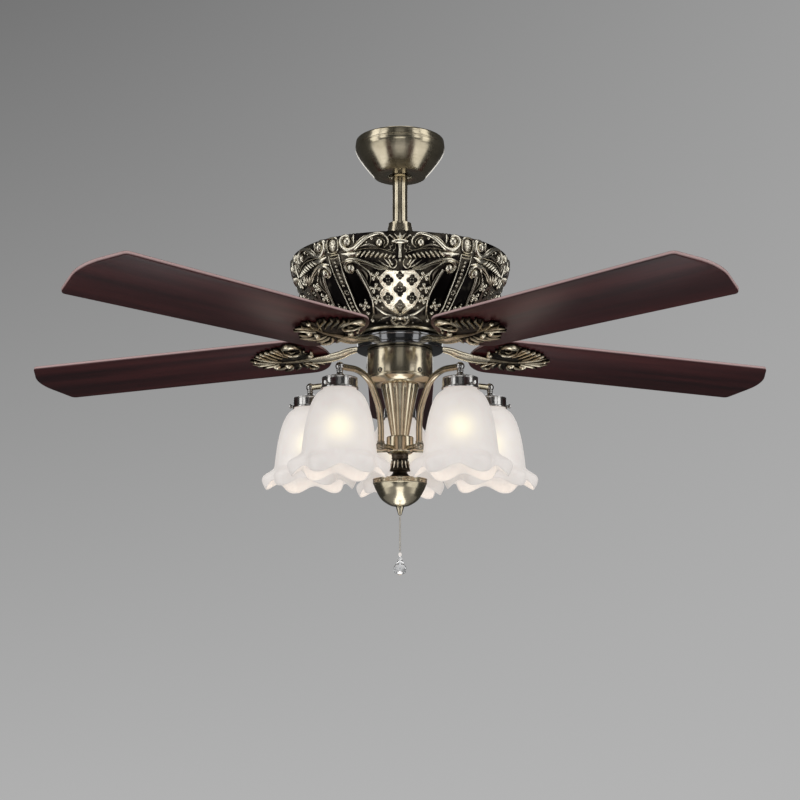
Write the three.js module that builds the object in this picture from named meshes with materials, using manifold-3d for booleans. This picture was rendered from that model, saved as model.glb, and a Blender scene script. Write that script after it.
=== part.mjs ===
// Ceiling fan with a five-arm light kit.
// Millimetres, +Z up. The origin is the middle of the hanger bracket's top face, on the ceiling.
// Heights are therefore negative: a value such as housingTop is how far below the ceiling it lies.

import * as THREE from "three";
import { mergeVertices } from "three/addons/utils/BufferGeometryUtils.js";
import Module from "manifold-3d";

const wasm = await Module();
wasm.setup();

// ---------------------------------------------------------------- driving dimensions
// A name that ends in Top, Bottom, Depth, Foot or Tip is a height below the ceiling, worked out from
// the piece above. Everything else is a size of its own.

const stations = 5; // blades, blade irons, light arms and lamps, all on the same bearings
const fit = 0.3; // running and seating clearance between neighbouring pieces
const sheet = 1.5; // wall of the spun and pressed brass pieces

// canopy and hanger
const canopyRadius = 73.4;
const canopyHeight = 60;
const canopyBand = 16; // height of the canopy's upright band
const canopyFloorRadius = 44.7;
const canopyHoleRadius = 19.8;
const bracketWidth = 50;
const bracketSheet = 2.5;
const bracketFlange = 14;
const ceilingSlotLength = 18;
const ceilingSlotWidth = 6;
const ceilingSlotSpacing = 94; // between the middles of the two slots
const ballRadius = 23;
const ballDrop = 29; // ball centre below the ceiling
const seatFit = 0.5; // wide enough for the ball's facets to turn past the seat's
const seatOpeningDrop = 14; // the ball shows through its seat from here down
const canopyScrewRadius = 3;
const canopyScrewDrop = 8;

// downrod and couplings
const rodRadius = 12.5;
const rodWall = 2;
const rodLength = 164;
const rodAboveBall = 17;
const crossPinRadius = 3;
const yokeGrip = 26; // how far the rod goes into the yoke
const yokeHeight = 44.8;
const yokeWall = 4.5;
const coverRise = 9.1; // the cover's top above the yoke
const coverTopRadius = 18.9;
const coverFootRadius = 35.5;
const rodFoot = ballDrop - rodAboveBall + rodLength;
const yokeTop = rodFoot - yokeGrip;
const clevisDepth = yokeTop + yokeGrip / 2 + 1;
const coverTop = yokeTop - coverRise;

// motor
const lidSheet = 3;
const lidVents = 5;
const lidDish = 12.2; // the widest roll of the bowl's rim below the lid's top
const housingRadius = 174.6;
const housingHeight = 122.7;
const housingWall = 4.5;
const housingRingRadius = 60.9;
const crestRise = 4.5;
const crestWave = 2.5;
const strapRelief = 2.5;
const recessRelief = -2.4;
const pilasterRelief = 1.6;
const shieldRelief = 2.2;
const neckOpeningRadius = 50;
const shaftRadius = 8;
const shaftBore = 5.5;
const shaftFlangeRadius = 14;
const bearingRadius = 16;
const bearingHeight = 8;
const rotorRadius = 98;
const rotorDrop = 27.2; // the rotor's top below the lid's
const rotorHeight = 78;
const rotorWall = 3;
const statorRadius = 66;
const statorHeight = 42;
const lidTop = yokeTop + yokeHeight;
const housingTop = lidTop + lidDish;
const housingBottom = housingTop + housingHeight;
const rotorTop = lidTop + rotorDrop;

// blade hub and blades
const hubDrop = 23.5; // the hub's bottom below the bowl's ring
const hubNeckRadius = 44;
const hubBore = 20;
const hubRadius = 69.4;
const hubWaistRadius = 60;
const hubFlange = 6.2;
const hubTopFlange = 4.5;
const ironPad = 5.2; // thickness of the iron's root, which lies in the hub's waist
const ironWidth = 20;
const ironPlate = 4;
const ironEmboss = 2.4; // how far the strap stands below the leaf
const bladeRise = 1.8; // a blade's underside at its root, above the hub's bottom
const bladeThickness = 6;
const bladePitch = 12.95; // degrees
const bladeDroop = 1.96; // degrees
const bladeRoot = 122; // from the fan's axis
const bladeTip = 660;
const bladeRootWidth = 120;
const rootRound = 50; // length of the rounded end under the housing
const bladeTipWidth = 126;
const hubBottom = housingBottom + hubDrop;
const bladeDepth = hubBottom - bladeRise;
// The raised edge of each blade: 1 is the edge that leads when the fan turns counter-clockwise seen
// from above, -1 the other one. The two on +X mirror the two on -X across the YZ plane.
const bladeHands = [1, 1, 1, -1, -1];

// switch housing and column
const switchGap = 2.8; // between the hub and the switch housing
const switchRadius = 52.7;
const switchHeight = 39.9;
const panDrop = 13.8;
const panFloorRadius = 38.3;
const vaseTopRadius = 30.3;
const vaseBottomRadius = 14.1;
const vaseHeight = 81.4;
const vaseFlutes = 12;
const fluteDepth = 0.13; // share of the radius
const wireBore = 4.5;
const armHubRadius = 19.3;
const armHubHeight = 28.7;
const stubRadius = 4;
const stubRise = 8.9; // above the collar's bottom
const neckRadius = 13.7;
const neckFlare = 17.7;
const neckHeight = 38;
const bowlRadius = 42.9;
const bowlHeight = 43.3;
const spoutRadius = 6.3;
const spoutHeight = 12.6;
const spoutTipRadius = 2.9;
const switchTop = hubBottom + switchGap;
const switchBottom = switchTop + switchHeight;
const vaseTop = switchBottom + panDrop + fit;
const vaseBottom = vaseTop + vaseHeight;
const armHubBottom = vaseBottom + fit + armHubHeight;
const stubDepth = armHubBottom - stubRise;
const neckBottom = armHubBottom + fit + neckHeight;
const bowlTop = neckBottom + 2 * fit;
const bowlBottom = bowlTop + bowlHeight;
const spoutTip = bowlBottom + fit + spoutHeight;

// pull switch and chain
const noseRadius = 4;
const noseLength = 9;
const pullSwitchRadius = 13;
const pullSwitchDrop = 7; // its top below the bowl's rim
const chainBore = 2.3;
const beadRadius = 1.6;
const beadPitch = 4;
const hiddenChain = 41; // from the chain's top to the spout's tip
const chainLength = 100;
const crystalRadius = 10.6;
const crystalHeight = 34.5;
const chainTop = spoutTip - hiddenChain;
const crystalTop = chainTop + chainLength;
const crystalBottom = crystalTop + crystalHeight;

// light arms and lamps
const armRadius = 4.9;
const armReach = 50.6; // the arm's upright foot, from the fan's axis
const armRise = 108.5; // from the stub up to the knob
const nutRadius = 8;
const lampRadius = 154; // a lamp's axis, from the fan's axis
const knobRadius = 6.8;
const cupRadius = 28.4;
const cupDrop = 18.6; // the cup's shoulder below the knob
const cupWall = 16.4;
const socketRadius = 16.5;
const socketDrop = 30.4; // the socket's end below the shoulder
const bulbRadius = 26;
const bulbDrop = 68; // the bulb's end below the socket's
const glassWall = 2.8;
const shadeRadius = 56;
const bellDrop = 95; // where the flare starts, below the cup's bottom
const petals = 6;
const petalCrestRadius = 77;
const petalHeight = 47; // from the start of the flare to a petal's tip
const valleyHeight = 35;
const petalTurn = -17; // degrees the glass is turned in its cup
const knobDepth = stubDepth - armRise;
const cupShoulder = knobDepth + cupDrop;
const cupBottom = cupShoulder + cupWall;
const socketBottom = cupShoulder + socketDrop;
const bulbBottom = socketBottom + bulbDrop;
const shadeFlareTop = cupBottom + bellDrop;
const petalTip = shadeFlareTop + petalHeight;
const petalValley = shadeFlareTop + valleyHeight;

// facets
const fine = 20;
const round = 12;
const small = 8;
const lampSides = 10;

// ---------------------------------------------------------------- materials

const finish = (color, roughness, metalness) =>
  new THREE.MeshStandardMaterial({ color, roughness, metalness });
const antiqueBrass = finish(0xa39a80, 0.35, 0.95);
const castBrass = finish(0x6e6654, 0.4, 0.9);
const blackNickel = finish(0x26262a, 0.2, 1.0);
const steel = finish(0x8e9094, 0.45, 1.0);
const paintedSteel = finish(0x2b2b2b, 0.6, 0.4);
const darkWood = finish(0x4a2a2a, 0.4, 0.0);
const frostedGlass = finish(0xe8e2dc, 0.5, 0.0);
const bulbGlass = finish(0xfff2d8, 0.4, 0.0);
const clearCrystal = finish(0xf2f4f6, 0.05, 0.0);

// ---------------------------------------------------------------- making solids

const radians = THREE.MathUtils.degToRad;

/** Joins shared corners, drops empty triangles and turns the faces outwards. */
function closed(geometry) {
  geometry.deleteAttribute("normal");
  geometry.deleteAttribute("uv");
  const merged = mergeVertices(geometry, 1e-3);
  const at = merged.getAttribute("position");
  const corners = merged.getIndex().array;
  const kept = [];
  let volume = 0;
  const [a, b, c] = [new THREE.Vector3(), new THREE.Vector3(), new THREE.Vector3()];
  for (let i = 0; i < corners.length; i += 3) {
    const [p, q, r] = [corners[i], corners[i + 1], corners[i + 2]];
    if (p === q || q === r || r === p) continue;
    kept.push(p, q, r);
    a.fromBufferAttribute(at, p);
    b.fromBufferAttribute(at, q);
    c.fromBufferAttribute(at, r);
    volume += a.dot(b.cross(c));
  }
  merged.setIndex(volume < 0 ? kept.reverse() : kept);
  return merged;
}

/** A three.js geometry as a manifold solid. */
function toSolid(geometry) {
  const ready = closed(geometry.clone());
  return new wasm.Manifold(
    new wasm.Mesh({
      numProp: 3,
      vertProperties: new Float32Array(ready.getAttribute("position").array),
      triVerts: new Uint32Array(ready.getIndex().array),
    }),
  );
}

/** A manifold solid as a three.js geometry. */
function toGeometry(solid) {
  const mesh = solid.getMesh();
  const geometry = new THREE.BufferGeometry();
  geometry.setAttribute("position", new THREE.Float32BufferAttribute(mesh.vertProperties, 3));
  geometry.setIndex(Array.from(mesh.triVerts));
  return geometry;
}

const cut = (base, ...tools) =>
  toGeometry(tools.reduce((rest, tool) => rest.subtract(toSolid(tool)), toSolid(base)));

const fuse = (base, ...others) =>
  toGeometry(others.reduce((sum, other) => sum.add(toSolid(other)), toSolid(base)));

/** A solid of revolution about Z. The profile is [radius, height] and starts and ends on the axis. */
function turned(profile, segments = round) {
  const points = profile.map(([r, z]) => new THREE.Vector2(r, z));
  return closed(new THREE.LatheGeometry(points, segments).rotateX(Math.PI / 2));
}

/** A ring about Z, whose profile closes on itself. */
const ring = (profile, segments = round) => turned([...profile, profile[0]], segments);

/** A plain ring between two radii and two heights. */
const sleeve = (inner, outer, top, bottom, segments = round) =>
  ring([[inner, top], [outer, top], [outer, bottom], [inner, bottom]], segments);

const rodAlongX = (radius, from, to, height, segments = small) =>
  closed(
    new THREE.CylinderGeometry(radius, radius, to - from, segments)
      .rotateZ(Math.PI / 2)
      .translate((from + to) / 2, 0, height),
  );

const block = (x0, x1, y0, y1, z0, z1) =>
  new THREE.BoxGeometry(x1 - x0, y1 - y0, z1 - z0).translate(
    (x0 + x1) / 2, (y0 + y1) / 2, (z0 + z1) / 2,
  );

/** Closed skin over a grid of [x, y, z] points that wraps round in each row. */
function skin(grid, closeRows) {
  const rows = grid.length;
  const columns = grid[0].length;
  const index = [];
  for (let i = 0; i < (closeRows ? rows : rows - 1); i++) {
    for (let j = 0; j < columns; j++) {
      const here = i * columns;
      const next = ((i + 1) % rows) * columns;
      const right = (j + 1) % columns;
      index.push(here + j, next + j, here + right, here + right, next + j, next + right);
    }
  }
  const geometry = new THREE.BufferGeometry();
  geometry.setAttribute("position", new THREE.Float32BufferAttribute(grid.flat(2), 3));
  geometry.setIndex(index);
  return closed(geometry);
}

/** Points [radius, height] of an arc about (r0, z0), angles in degrees from +R towards +Z. */
function arc(r0, z0, radius, from, to, steps) {
  const points = [];
  for (let i = 0; i <= steps; i++) {
    const angle = radians(from + ((to - from) * i) / steps);
    points.push([r0 + radius * Math.cos(angle), z0 + radius * Math.sin(angle)]);
  }
  return points;
}

// ---------------------------------------------------------------- canopy and hanger

/** Outer line of the canopy from its rim down to its flat floor. */
function canopyLine(inset, steps) {
  const line = [
    [canopyRadius - 1.1 - inset, -fit],
    [canopyRadius - inset, -canopyBand / 2 - 1],
    [canopyRadius - inset, -canopyBand],
  ];
  const drop = canopyHeight - canopyBand - inset;
  for (let i = 1; i <= steps; i++) {
    const turn = (i / steps) * (Math.PI / 2);
    line.push([
      canopyFloorRadius + (canopyRadius - canopyFloorRadius) * Math.cos(turn) - inset,
      -canopyBand - drop * Math.sin(turn) ** 1.15,
    ]);
  }
  return line;
}

function canopy() {
  const outside = canopyLine(0, 5);
  const inside = canopyLine(sheet, 2).reverse();
  const shell = ring(
    [
      ...outside,
      [canopyHoleRadius, -canopyHeight],
      [canopyHoleRadius, -canopyHeight + sheet],
      ...inside,
    ],
    fine,
  );
  const hole = canopyScrewRadius + fit;
  return cut(shell, rodAlongX(hole, -canopyRadius - 5, canopyRadius + 5, -canopyScrewDrop));
}

/** A screw through the canopy's side into the bracket's flange, with a flush head. */
function canopyScrew(side) {
  const head = canopyRadius - 0.4;
  const shank = rodAlongX(canopyScrewRadius, bracketReach() - 9, head, -canopyScrewDrop);
  return side > 0 ? shank : shank.rotateZ(Math.PI);
}

/** Half length of the bracket's top plate, up to the inside of the canopy. */
const bracketReach = () => canopyRadius - sheet - 4;

function hangerBracket() {
  const reach = bracketReach();
  const half = bracketWidth / 2;
  const tab = half / 2;
  const plate = fuse(
    block(-reach + half, reach - half, -half, half, -bracketSheet, 0),
    block(-reach, reach, -tab, tab, -bracketSheet, 0),
  );
  const inner = ballRadius + seatFit;
  const centre = -ballDrop;
  const lowest = -90 + (Math.acos(seatOpeningDrop / inner) * 180) / Math.PI;
  const seat = ring([
    ...arc(0, centre, inner, lowest, 0, 3),
    [inner, -bracketSheet + 1],
    [inner + bracketSheet, -bracketSheet + 1],
    [inner + bracketSheet, centre],
    ...arc(0, centre, inner + bracketSheet, -12, lowest, 2),
  ], fine);
  let bracket = fuse(plate, seat);
  for (const side of [-1, 1]) {
    const face = side * reach;
    const flange = block(
      Math.min(face, face - side * bracketSheet), Math.max(face, face - side * bracketSheet),
      -tab, tab, -bracketFlange, 0,
    );
    bracket = fuse(bracket, flange);
  }
  const mouth = inner + fit;
  const rodWay = rodRadius + 1.5;
  const slotMiddle = ceilingSlotSpacing / 2;
  const slot = (side) =>
    block(
      side * slotMiddle - ceilingSlotLength / 2, side * slotMiddle + ceilingSlotLength / 2,
      -ceilingSlotWidth / 2, ceilingSlotWidth / 2, -2 * bracketSheet, bracketSheet,
    );
  return cut(
    bracket,
    // the ball goes in from the side, and the rod follows it through a narrower slot
    block(-mouth, mouth, 0, 2 * mouth, centre - 2, -bracketSheet - fit),
    block(-rodWay, rodWay, 0, 2 * mouth, centre - 2 * ballRadius, centre),
    // slots for the ceiling screws, and the holes of the canopy screws
    slot(1),
    slot(-1),
    rodAlongX(canopyScrewRadius + fit, -reach - 5, reach + 5, -canopyScrewDrop),
  );
}

function hangerBall() {
  const bore = rodRadius + fit;
  const rise = (Math.acos(bore / ballRadius) * 180) / Math.PI;
  const ball = ring(arc(0, -ballDrop, ballRadius, -rise, rise, 6), fine);
  return cut(ball, rodAlongX(crossPinRadius + fit, -40, 40, -ballDrop));
}

// ---------------------------------------------------------------- downrod, yoke and cover

const shaftTop = rodFoot + 4;

const crossPin = (height, halfLength) =>
  rodAlongX(crossPinRadius, -halfLength, halfLength, -height);

function downrod() {
  const top = -(ballDrop - rodAboveBall);
  const tube = sleeve(rodRadius - rodWall, rodRadius, top, -rodFoot);
  const hole = crossPinRadius + fit;
  return cut(
    tube,
    rodAlongX(hole, -40, 40, -ballDrop),
    rodAlongX(hole, -40, 40, -clevisDepth),
  );
}

function yoke() {
  const bore = rodRadius + fit;
  const outer = bore + yokeWall;
  const foot = -lidTop + fit;
  const body = ring([
    [bore, -yokeTop],
    [outer, -yokeTop],
    [outer, foot + 7],
    [outer + 5, foot + 5],
    [outer + 5, foot],
    [shaftRadius + fit, foot],
    [shaftRadius + fit, -rodFoot - fit],
    [bore, -rodFoot - fit],
  ]);
  return cut(body, rodAlongX(crossPinRadius + fit, -40, 40, -clevisDepth));
}

function yokeCover() {
  const line = [
    [coverTopRadius, -coverTop],
    [coverTopRadius + 0.7, -coverTop - 5],
    [coverTopRadius + 3.9, -coverTop - 19],
    [coverTopRadius + 6.8, -coverTop - 31],
    [coverTopRadius + 10.4, -coverTop - 41],
    [coverFootRadius - 2, -lidTop + 5],
    [coverFootRadius, -lidTop + fit],
  ];
  const inside = line.map(([r, z]) => [r - sheet, Math.min(z, -coverTop - sheet)]).reverse();
  const hole = rodRadius + 0.9;
  return ring([...line, ...inside, [hole, -coverTop - sheet], [hole, -coverTop]]);
}

// ---------------------------------------------------------------- motor housing

const ledgeDepth = lidTop + lidSheet + 11.2; // the lid's rim lies on this ledge
const ledgeRadius = housingRadius - 16.6;
const lidRadius = housingRadius - 11;

function housingLid() {
  const bore = shaftRadius + fit;
  const under = lidSheet;
  const rim = ledgeDepth - fit;
  const lid = ring(
    [
      [bore, -lidTop],
      [coverFootRadius + 5, -lidTop],
      [ledgeRadius - 3, -rim + 3.2],
      [lidRadius, -rim + 2.5],
      [lidRadius, -rim],
      [ledgeRadius, -rim],
      [coverFootRadius + 5, -lidTop - under],
      [bore, -lidTop - under],
    ],
    fine,
  );
  const vents = [];
  for (let i = 0; i < lidVents; i++) {
    const slot = block(ledgeRadius * 0.52, ledgeRadius * 0.88, -3, 3, -rim - 5, -lidTop + 5);
    vents.push(slot.rotateZ((2 * Math.PI * (i + 0.5)) / lidVents));
  }
  return cut(lid, ...vents);
}

/** The bowl's outer line, from the inside of its crest down to its bottom ring. */
function housingLine() {
  const rim = housingRadius;
  const top = -housingTop;
  return [
    [rim - 8.6, top + 1, "crest"],
    [rim - 3.5, top + crestRise, "crest"],
    [rim, top, "rim"],
    [rim - 1.4, top - 14, "rim"],
    [rim - 5.2, top - 30, "band"],
    [rim - 10.7, top - 42.2, "panel"],
    [rim - 25.2, top - 63.6, "panel"],
    [rim - 37.6, top - 78.3, "panel"],
    [rim - 53.9, top - 98.5, "panel"],
    [rim - 73.3, top - 109.2, "foot"],
    [rim - 90.9, top - 116.7, "foot"],
    [housingRingRadius + 4, -housingBottom + 3.2, "plain"],
    [housingRingRadius, -housingBottom + 2.7, "plain"],
    [housingRingRadius, -housingBottom, "plain"],
  ];
}

/** How far the casting stands out, at so many degrees from the middle of the nearest strap. */
function relief(fromStrap, zone) {
  const half = 180 / stations;
  if (zone === "plain") return 0;
  if (fromStrap < 3.2) return zone === "crest" ? 0 : strapRelief;
  if (zone !== "panel") return 0;
  if (fromStrap < 8.9) return recessRelief;
  if (fromStrap < 15) return pilasterRelief;
  return fromStrap > half - 13 ? shieldRelief : 0;
}

function motorHousing() {
  const sector = 360 / stations;
  const half = sector / 2;
  const stops = [3.1, 3.5, 9, 14, half - 12];
  const bearings = [];
  for (let i = 0; i < stations; i++) {
    const middle = 90 + i * sector;
    for (const stop of stops) bearings.push([middle + stop, stop]);
    bearings.push([middle + half, half]);
    for (const stop of [...stops].reverse()) bearings.push([middle + sector - stop, stop]);
  }
  const line = housingLine();
  const grid = line.map(([r, z, zone], row) => {
    const [r0, z0] = line[Math.max(row - 1, 0)];
    const [r1, z1] = line[Math.min(row + 1, line.length - 1)];
    const length = Math.hypot(r1 - r0, z1 - z0);
    const out = [(z0 - z1) / length, (r1 - r0) / length];
    return bearings.map(([bearing, fromStrap]) => {
      const stand = relief(fromStrap, zone);
      const wave = zone === "crest" ? crestWave * Math.cos(radians(2 * stations * fromStrap)) : 0;
      const radius = r + stand * out[0];
      const turn = radians(bearing);
      return [radius * Math.cos(turn), radius * Math.sin(turn), z + stand * out[1] + wave];
    });
  });
  const onAxis = (z) => bearings.map(() => [0, 0, z]);
  const outside = skin([onAxis(line[0][1]), ...grid, onAxis(-housingBottom)], false);
  return cut(outside, housingHollow());
}

/** What is hollowed out of the bowl: the lid's seat, the motor space and the neck opening. */
function housingHollow() {
  const seat = lidRadius + fit;
  const wall = housingLine()
    .filter(([, , zone], row) => (zone === "panel" || zone === "foot") && row % 2 === 0)
    .map(([r, z]) => [r - housingWall, z + housingWall / 3]);
  return turned(
    [
      [0, -lidTop + 10],
      [seat, -lidTop + 10],
      [seat, -ledgeDepth],
      [ledgeRadius, -ledgeDepth],
      [ledgeRadius, -ledgeDepth - 3],
      [wall[0][0] + 1, -ledgeDepth - 10],
      ...wall,
      [neckOpeningRadius, wall.at(-1)[1] - 2],
      [neckOpeningRadius, -housingBottom - 5],
      [0, -housingBottom - 5],
    ],
    fine,
  );
}

// ---------------------------------------------------------------- motor

const shaftBottom = switchTop + 6;
const flangeDepth = lidTop + lidSheet + fit;

const motorShaft = () =>
  ring([
    [shaftBore, -shaftTop],
    [shaftRadius, -shaftTop],
    [shaftRadius, -flangeDepth],
    [shaftFlangeRadius, -flangeDepth],
    [shaftFlangeRadius, -flangeDepth - 4],
    [shaftRadius, -flangeDepth - 4],
    [shaftRadius, -shaftBottom],
    [shaftBore, -shaftBottom],
  ]);

const bearing = (top) =>
  sleeve(shaftRadius + fit, bearingRadius, -top, -top - bearingHeight, round);

function stator() {
  const top = -(rotorTop + (rotorHeight - statorHeight) / 2);
  const rim = statorRadius - 6;
  const bore = shaftRadius + fit;
  return ring([
    [bore, top],
    [rim, top],
    [statorRadius, top - 6],
    [statorRadius, top - statorHeight + 6],
    [rim, top - statorHeight],
    [bore, top - statorHeight],
  ]);
}

/** The spun can that turns about the stator, held by a bearing at either end. */
function rotorShell() {
  const bore = bearingRadius + fit;
  const bottom = rotorTop + rotorHeight;
  const line = (inset) => [
    [bore, -rotorTop - inset],
    [rotorRadius / 2, -rotorTop - inset],
    [rotorRadius - inset, -rotorTop - 14 - inset / 2],
    [rotorRadius - inset, -bottom + 14 + inset / 2],
    [rotorRadius - 38, -bottom + inset],
    [bore, -bottom + inset],
  ];
  return ring([...line(0), ...line(rotorWall).reverse()]);
}

// ---------------------------------------------------------------- blade hub, irons and blades

const waistTop = hubBottom - hubFlange - ironPad - fit - 3;

const bladeHub = () =>
  ring(
    [
      [hubBore, -(rotorTop + rotorHeight + fit)],
      [hubNeckRadius, -(rotorTop + rotorHeight + fit)],
      [hubNeckRadius, -waistTop + hubTopFlange],
      [hubRadius, -waistTop + hubTopFlange],
      [hubRadius, -waistTop],
      [hubWaistRadius, -waistTop],
      [hubWaistRadius, -hubBottom + hubFlange],
      [hubRadius, -hubBottom + hubFlange],
      [hubRadius, -hubBottom],
      [hubBore, -hubBottom],
    ],
    fine,
  );

/** Moves a flat shape, drawn along X with its underside at height 0, to a blade's slope. */
function bladeSlope(hand) {
  return new THREE.Matrix4()
    .makeTranslation(bladeRoot, 0, -bladeDepth)
    .multiply(new THREE.Matrix4().makeRotationY(radians(bladeDroop)))
    .multiply(new THREE.Matrix4().makeRotationX(radians(hand * bladePitch)))
    .multiply(new THREE.Matrix4().makeTranslation(-bladeRoot, 0, 0))
    .multiply(new THREE.Matrix4().makeScale(1, hand, 1));
}

function bladeShape() {
  const root = bladeRootWidth / 2;
  const tip = bladeTipWidth / 2;
  const corner = 7;
  const [lowDrop, highDrop] = [25, 21]; // how far each corner lies behind the tip's soft point
  const shape = new THREE.Shape();
  shape.moveTo(bladeRoot, 0);
  shape.bezierCurveTo(
    bladeRoot, -0.55 * root, bladeRoot + 0.45 * rootRound, -root, bladeRoot + rootRound, -root,
  );
  shape.lineTo(bladeTip - lowDrop - corner, -tip + 0.1);
  shape.quadraticCurveTo(bladeTip - lowDrop, -tip, bladeTip - lowDrop + 3, -tip + corner);
  shape.lineTo(bladeTip - 5.5, -0.28 * tip);
  shape.quadraticCurveTo(bladeTip + 3.6, 0.1 * tip, bladeTip - 5.5, 0.48 * tip);
  shape.lineTo(bladeTip - highDrop + 2.6, tip - corner);
  shape.quadraticCurveTo(bladeTip - highDrop, tip, bladeTip - highDrop - corner, tip - 0.1);
  shape.lineTo(bladeRoot + rootRound, root);
  shape.bezierCurveTo(
    bladeRoot + 0.45 * rootRound, root, bladeRoot, 0.55 * root, bladeRoot, 0,
  );
  return shape;
}

function blade(hand) {
  const board = new THREE.ExtrudeGeometry(bladeShape(), {
    depth: bladeThickness, bevelEnabled: false, curveSegments: 4,
  });
  return closed(board.applyMatrix4(bladeSlope(hand)));
}

/** The strap that reaches from the hub's waist to under the blade, drawn from the side. */
function ironStrap() {
  const seat = -hubBottom + hubFlange + fit;
  const inner = hubWaistRadius + fit;
  const under = -bladeDepth - ironEmboss;
  const shape = new THREE.Shape();
  shape.moveTo(inner, seat + ironPad);
  shape.lineTo(inner, seat);
  shape.lineTo(hubRadius + 3, seat);
  shape.quadraticCurveTo(hubRadius + 17, seat - 1, hubRadius + 28, seat - 7);
  shape.quadraticCurveTo(bladeRoot, seat - 11.5, bladeRoot + 30, under - 5.6);
  shape.lineTo(bladeRoot + 30, under - 1.6);
  shape.lineTo(bladeRoot - 2, under);
  shape.quadraticCurveTo(hubRadius + 36, seat - 2, hubRadius + 16, seat + ironPad - 1);
  shape.lineTo(inner, seat + ironPad);
  const strap = new THREE.ExtrudeGeometry(shape, {
    depth: ironWidth, bevelEnabled: false, curveSegments: 3,
  });
  return strap.rotateX(Math.PI / 2).translate(0, ironWidth / 2, 0);
}

/** One lobe of the iron's leaf: an ellipse with its middle at (s, t), turned by so many degrees. */
function leafLobe(s, t, length, width, turn, curveSegments = 3) {
  const shape = new THREE.Shape().absellipse(0, 0, length / 2, width / 2, 0, 2 * Math.PI);
  return new THREE.ExtrudeGeometry(shape, {
    depth: ironPlate, bevelEnabled: false, curveSegments,
  })
    .rotateZ(radians(turn))
    .translate(s, t, -ironPlate - fit);
}

/** The leaf and scroll plate that the blade is screwed to. */
function ironLeaf() {
  const from = bladeRoot;
  const lobes = [
    leafLobe(from + 80, 4, 134, 26, 4), // the mid rib, up to the tip
    leafLobe(from + 108, 23, 38, 13, 52),
    leafLobe(from + 88, 29, 46, 15, 66),
    leafLobe(from + 52, 40, 42, 27, 8, 4), // the scroll boss
    leafLobe(from + 48, 20, 34, 34, 70),
    leafLobe(from + 110, -7, 36, 13, -38),
    leafLobe(from + 90, -16, 42, 14, -58),
    leafLobe(from + 68, -22, 46, 22, -70),
    leafLobe(from + 46, -18, 42, 22, -45),
  ];
  return fuse(...lobes);
}

function bladeIron(hand) {
  return fuse(ironStrap(), ironLeaf().applyMatrix4(bladeSlope(hand)));
}

// ---------------------------------------------------------------- switch housing and column

const switchPlate = () =>
  sleeve(shaftRadius + fit, switchRadius - sheet - fit, -switchTop, -switchTop - 3, fine);

const switchHousing = () =>
  sleeve(switchRadius - sheet, switchRadius, -switchTop, -switchBottom, fine);

/** The dished plate under the switch housing, with a flange that the housing is screwed to. */
function fitterPlate() {
  const flange = switchRadius - sheet - fit;
  const top = -switchBottom;
  const floor = top - panDrop;
  const curve = (inset) => [
    [switchRadius - 1.4 - inset, top - 5],
    [switchRadius - 6.2 - inset, top - 10.6],
    [panFloorRadius, floor + inset],
  ];
  return ring(
    [
      [flange - sheet, top + 10],
      [flange, top + 10],
      [flange, top - fit],
      [switchRadius, top - fit],
      ...curve(0),
      [wireBore, floor],
      [wireBore, floor + sheet],
      ...curve(sheet).reverse(),
      [flange - sheet, top - 3],
    ],
    fine,
  );
}

/** The fluted cone: its section is a ring of shallow valleys, and it tapers as it goes down. */
function vase() {
  const top = -vaseTop;
  const bottom = -vaseBottom;
  const perFlute = 2; // a ridge and a valley
  const bearings = Array.from({ length: vaseFlutes * perFlute }, (_, i) => i);
  const row = (radius, z, depth) =>
    bearings.map((i) => {
      const turn = (2 * Math.PI * i) / bearings.length;
      const valley = 0.5 - 0.5 * Math.cos((2 * Math.PI * i) / perFlute);
      const r = radius * (1 - depth * valley);
      return [r * Math.cos(turn), r * Math.sin(turn), z];
    });
  const length = top - bottom;
  const taper = (share) => vaseTopRadius + (vaseBottomRadius - vaseTopRadius) * share;
  const outer = [
    row(vaseTopRadius, top, 0),
    row(taper(0.04), top - 0.04 * length, fluteDepth),
    row(taper(0.5) - 0.6, top - 0.5 * length, fluteDepth),
    row(vaseBottomRadius, bottom, fluteDepth),
  ];
  const inner = [row(wireBore, bottom, 0), row(wireBore, top, 0)];
  return skin([...outer, ...inner], true);
}

/** The collar that carries the arms, with a stub for each. */
function armHub() {
  const top = -vaseBottom - fit;
  const r = armHubRadius;
  const collar = ring([
    [wireBore, top],
    [r - 1.3, top],
    [r, top - 1.5],
    [r, -armHubBottom + 5],
    [neckRadius, -armHubBottom],
    [wireBore, -armHubBottom],
  ]);
  const stubs = [];
  for (let i = 0; i < stations; i++) {
    const reach = armReach - nutRadius + 4;
    const stub = rodAlongX(stubRadius, r - 3, reach, -stubDepth);
    stubs.push(stub.rotateZ(stationTurn(i)));
  }
  return fuse(collar, ...stubs);
}

/** The turned ornament between the collar and the bowl. */
function finialNeck() {
  const top = -armHubBottom - fit;
  const bottom = -neckBottom;
  return ring([
    [wireBore, top],
    [neckRadius - 0.3, top],
    [neckRadius - 0.3, top - 6.5],
    [neckRadius - 1.2, top - 7.5],
    [neckRadius, top - 9],
    [neckRadius + 0.9, top - 16],
    [neckFlare, top - 24.5],
    [neckFlare - 7, top - 26.5],
    [neckFlare - 7, top - 28],
    [neckFlare, bottom + 3],
    [neckFlare, bottom + 1.6],
    [neckFlare - 6, bottom],
    [wireBore, bottom],
  ]);
}

const lidSeat = bowlRadius - sheet - fit;

const bowlLid = () => sleeve(wireBore, lidSeat, -bowlTop + 0.3, -bowlTop - 1.2, fine);

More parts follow.
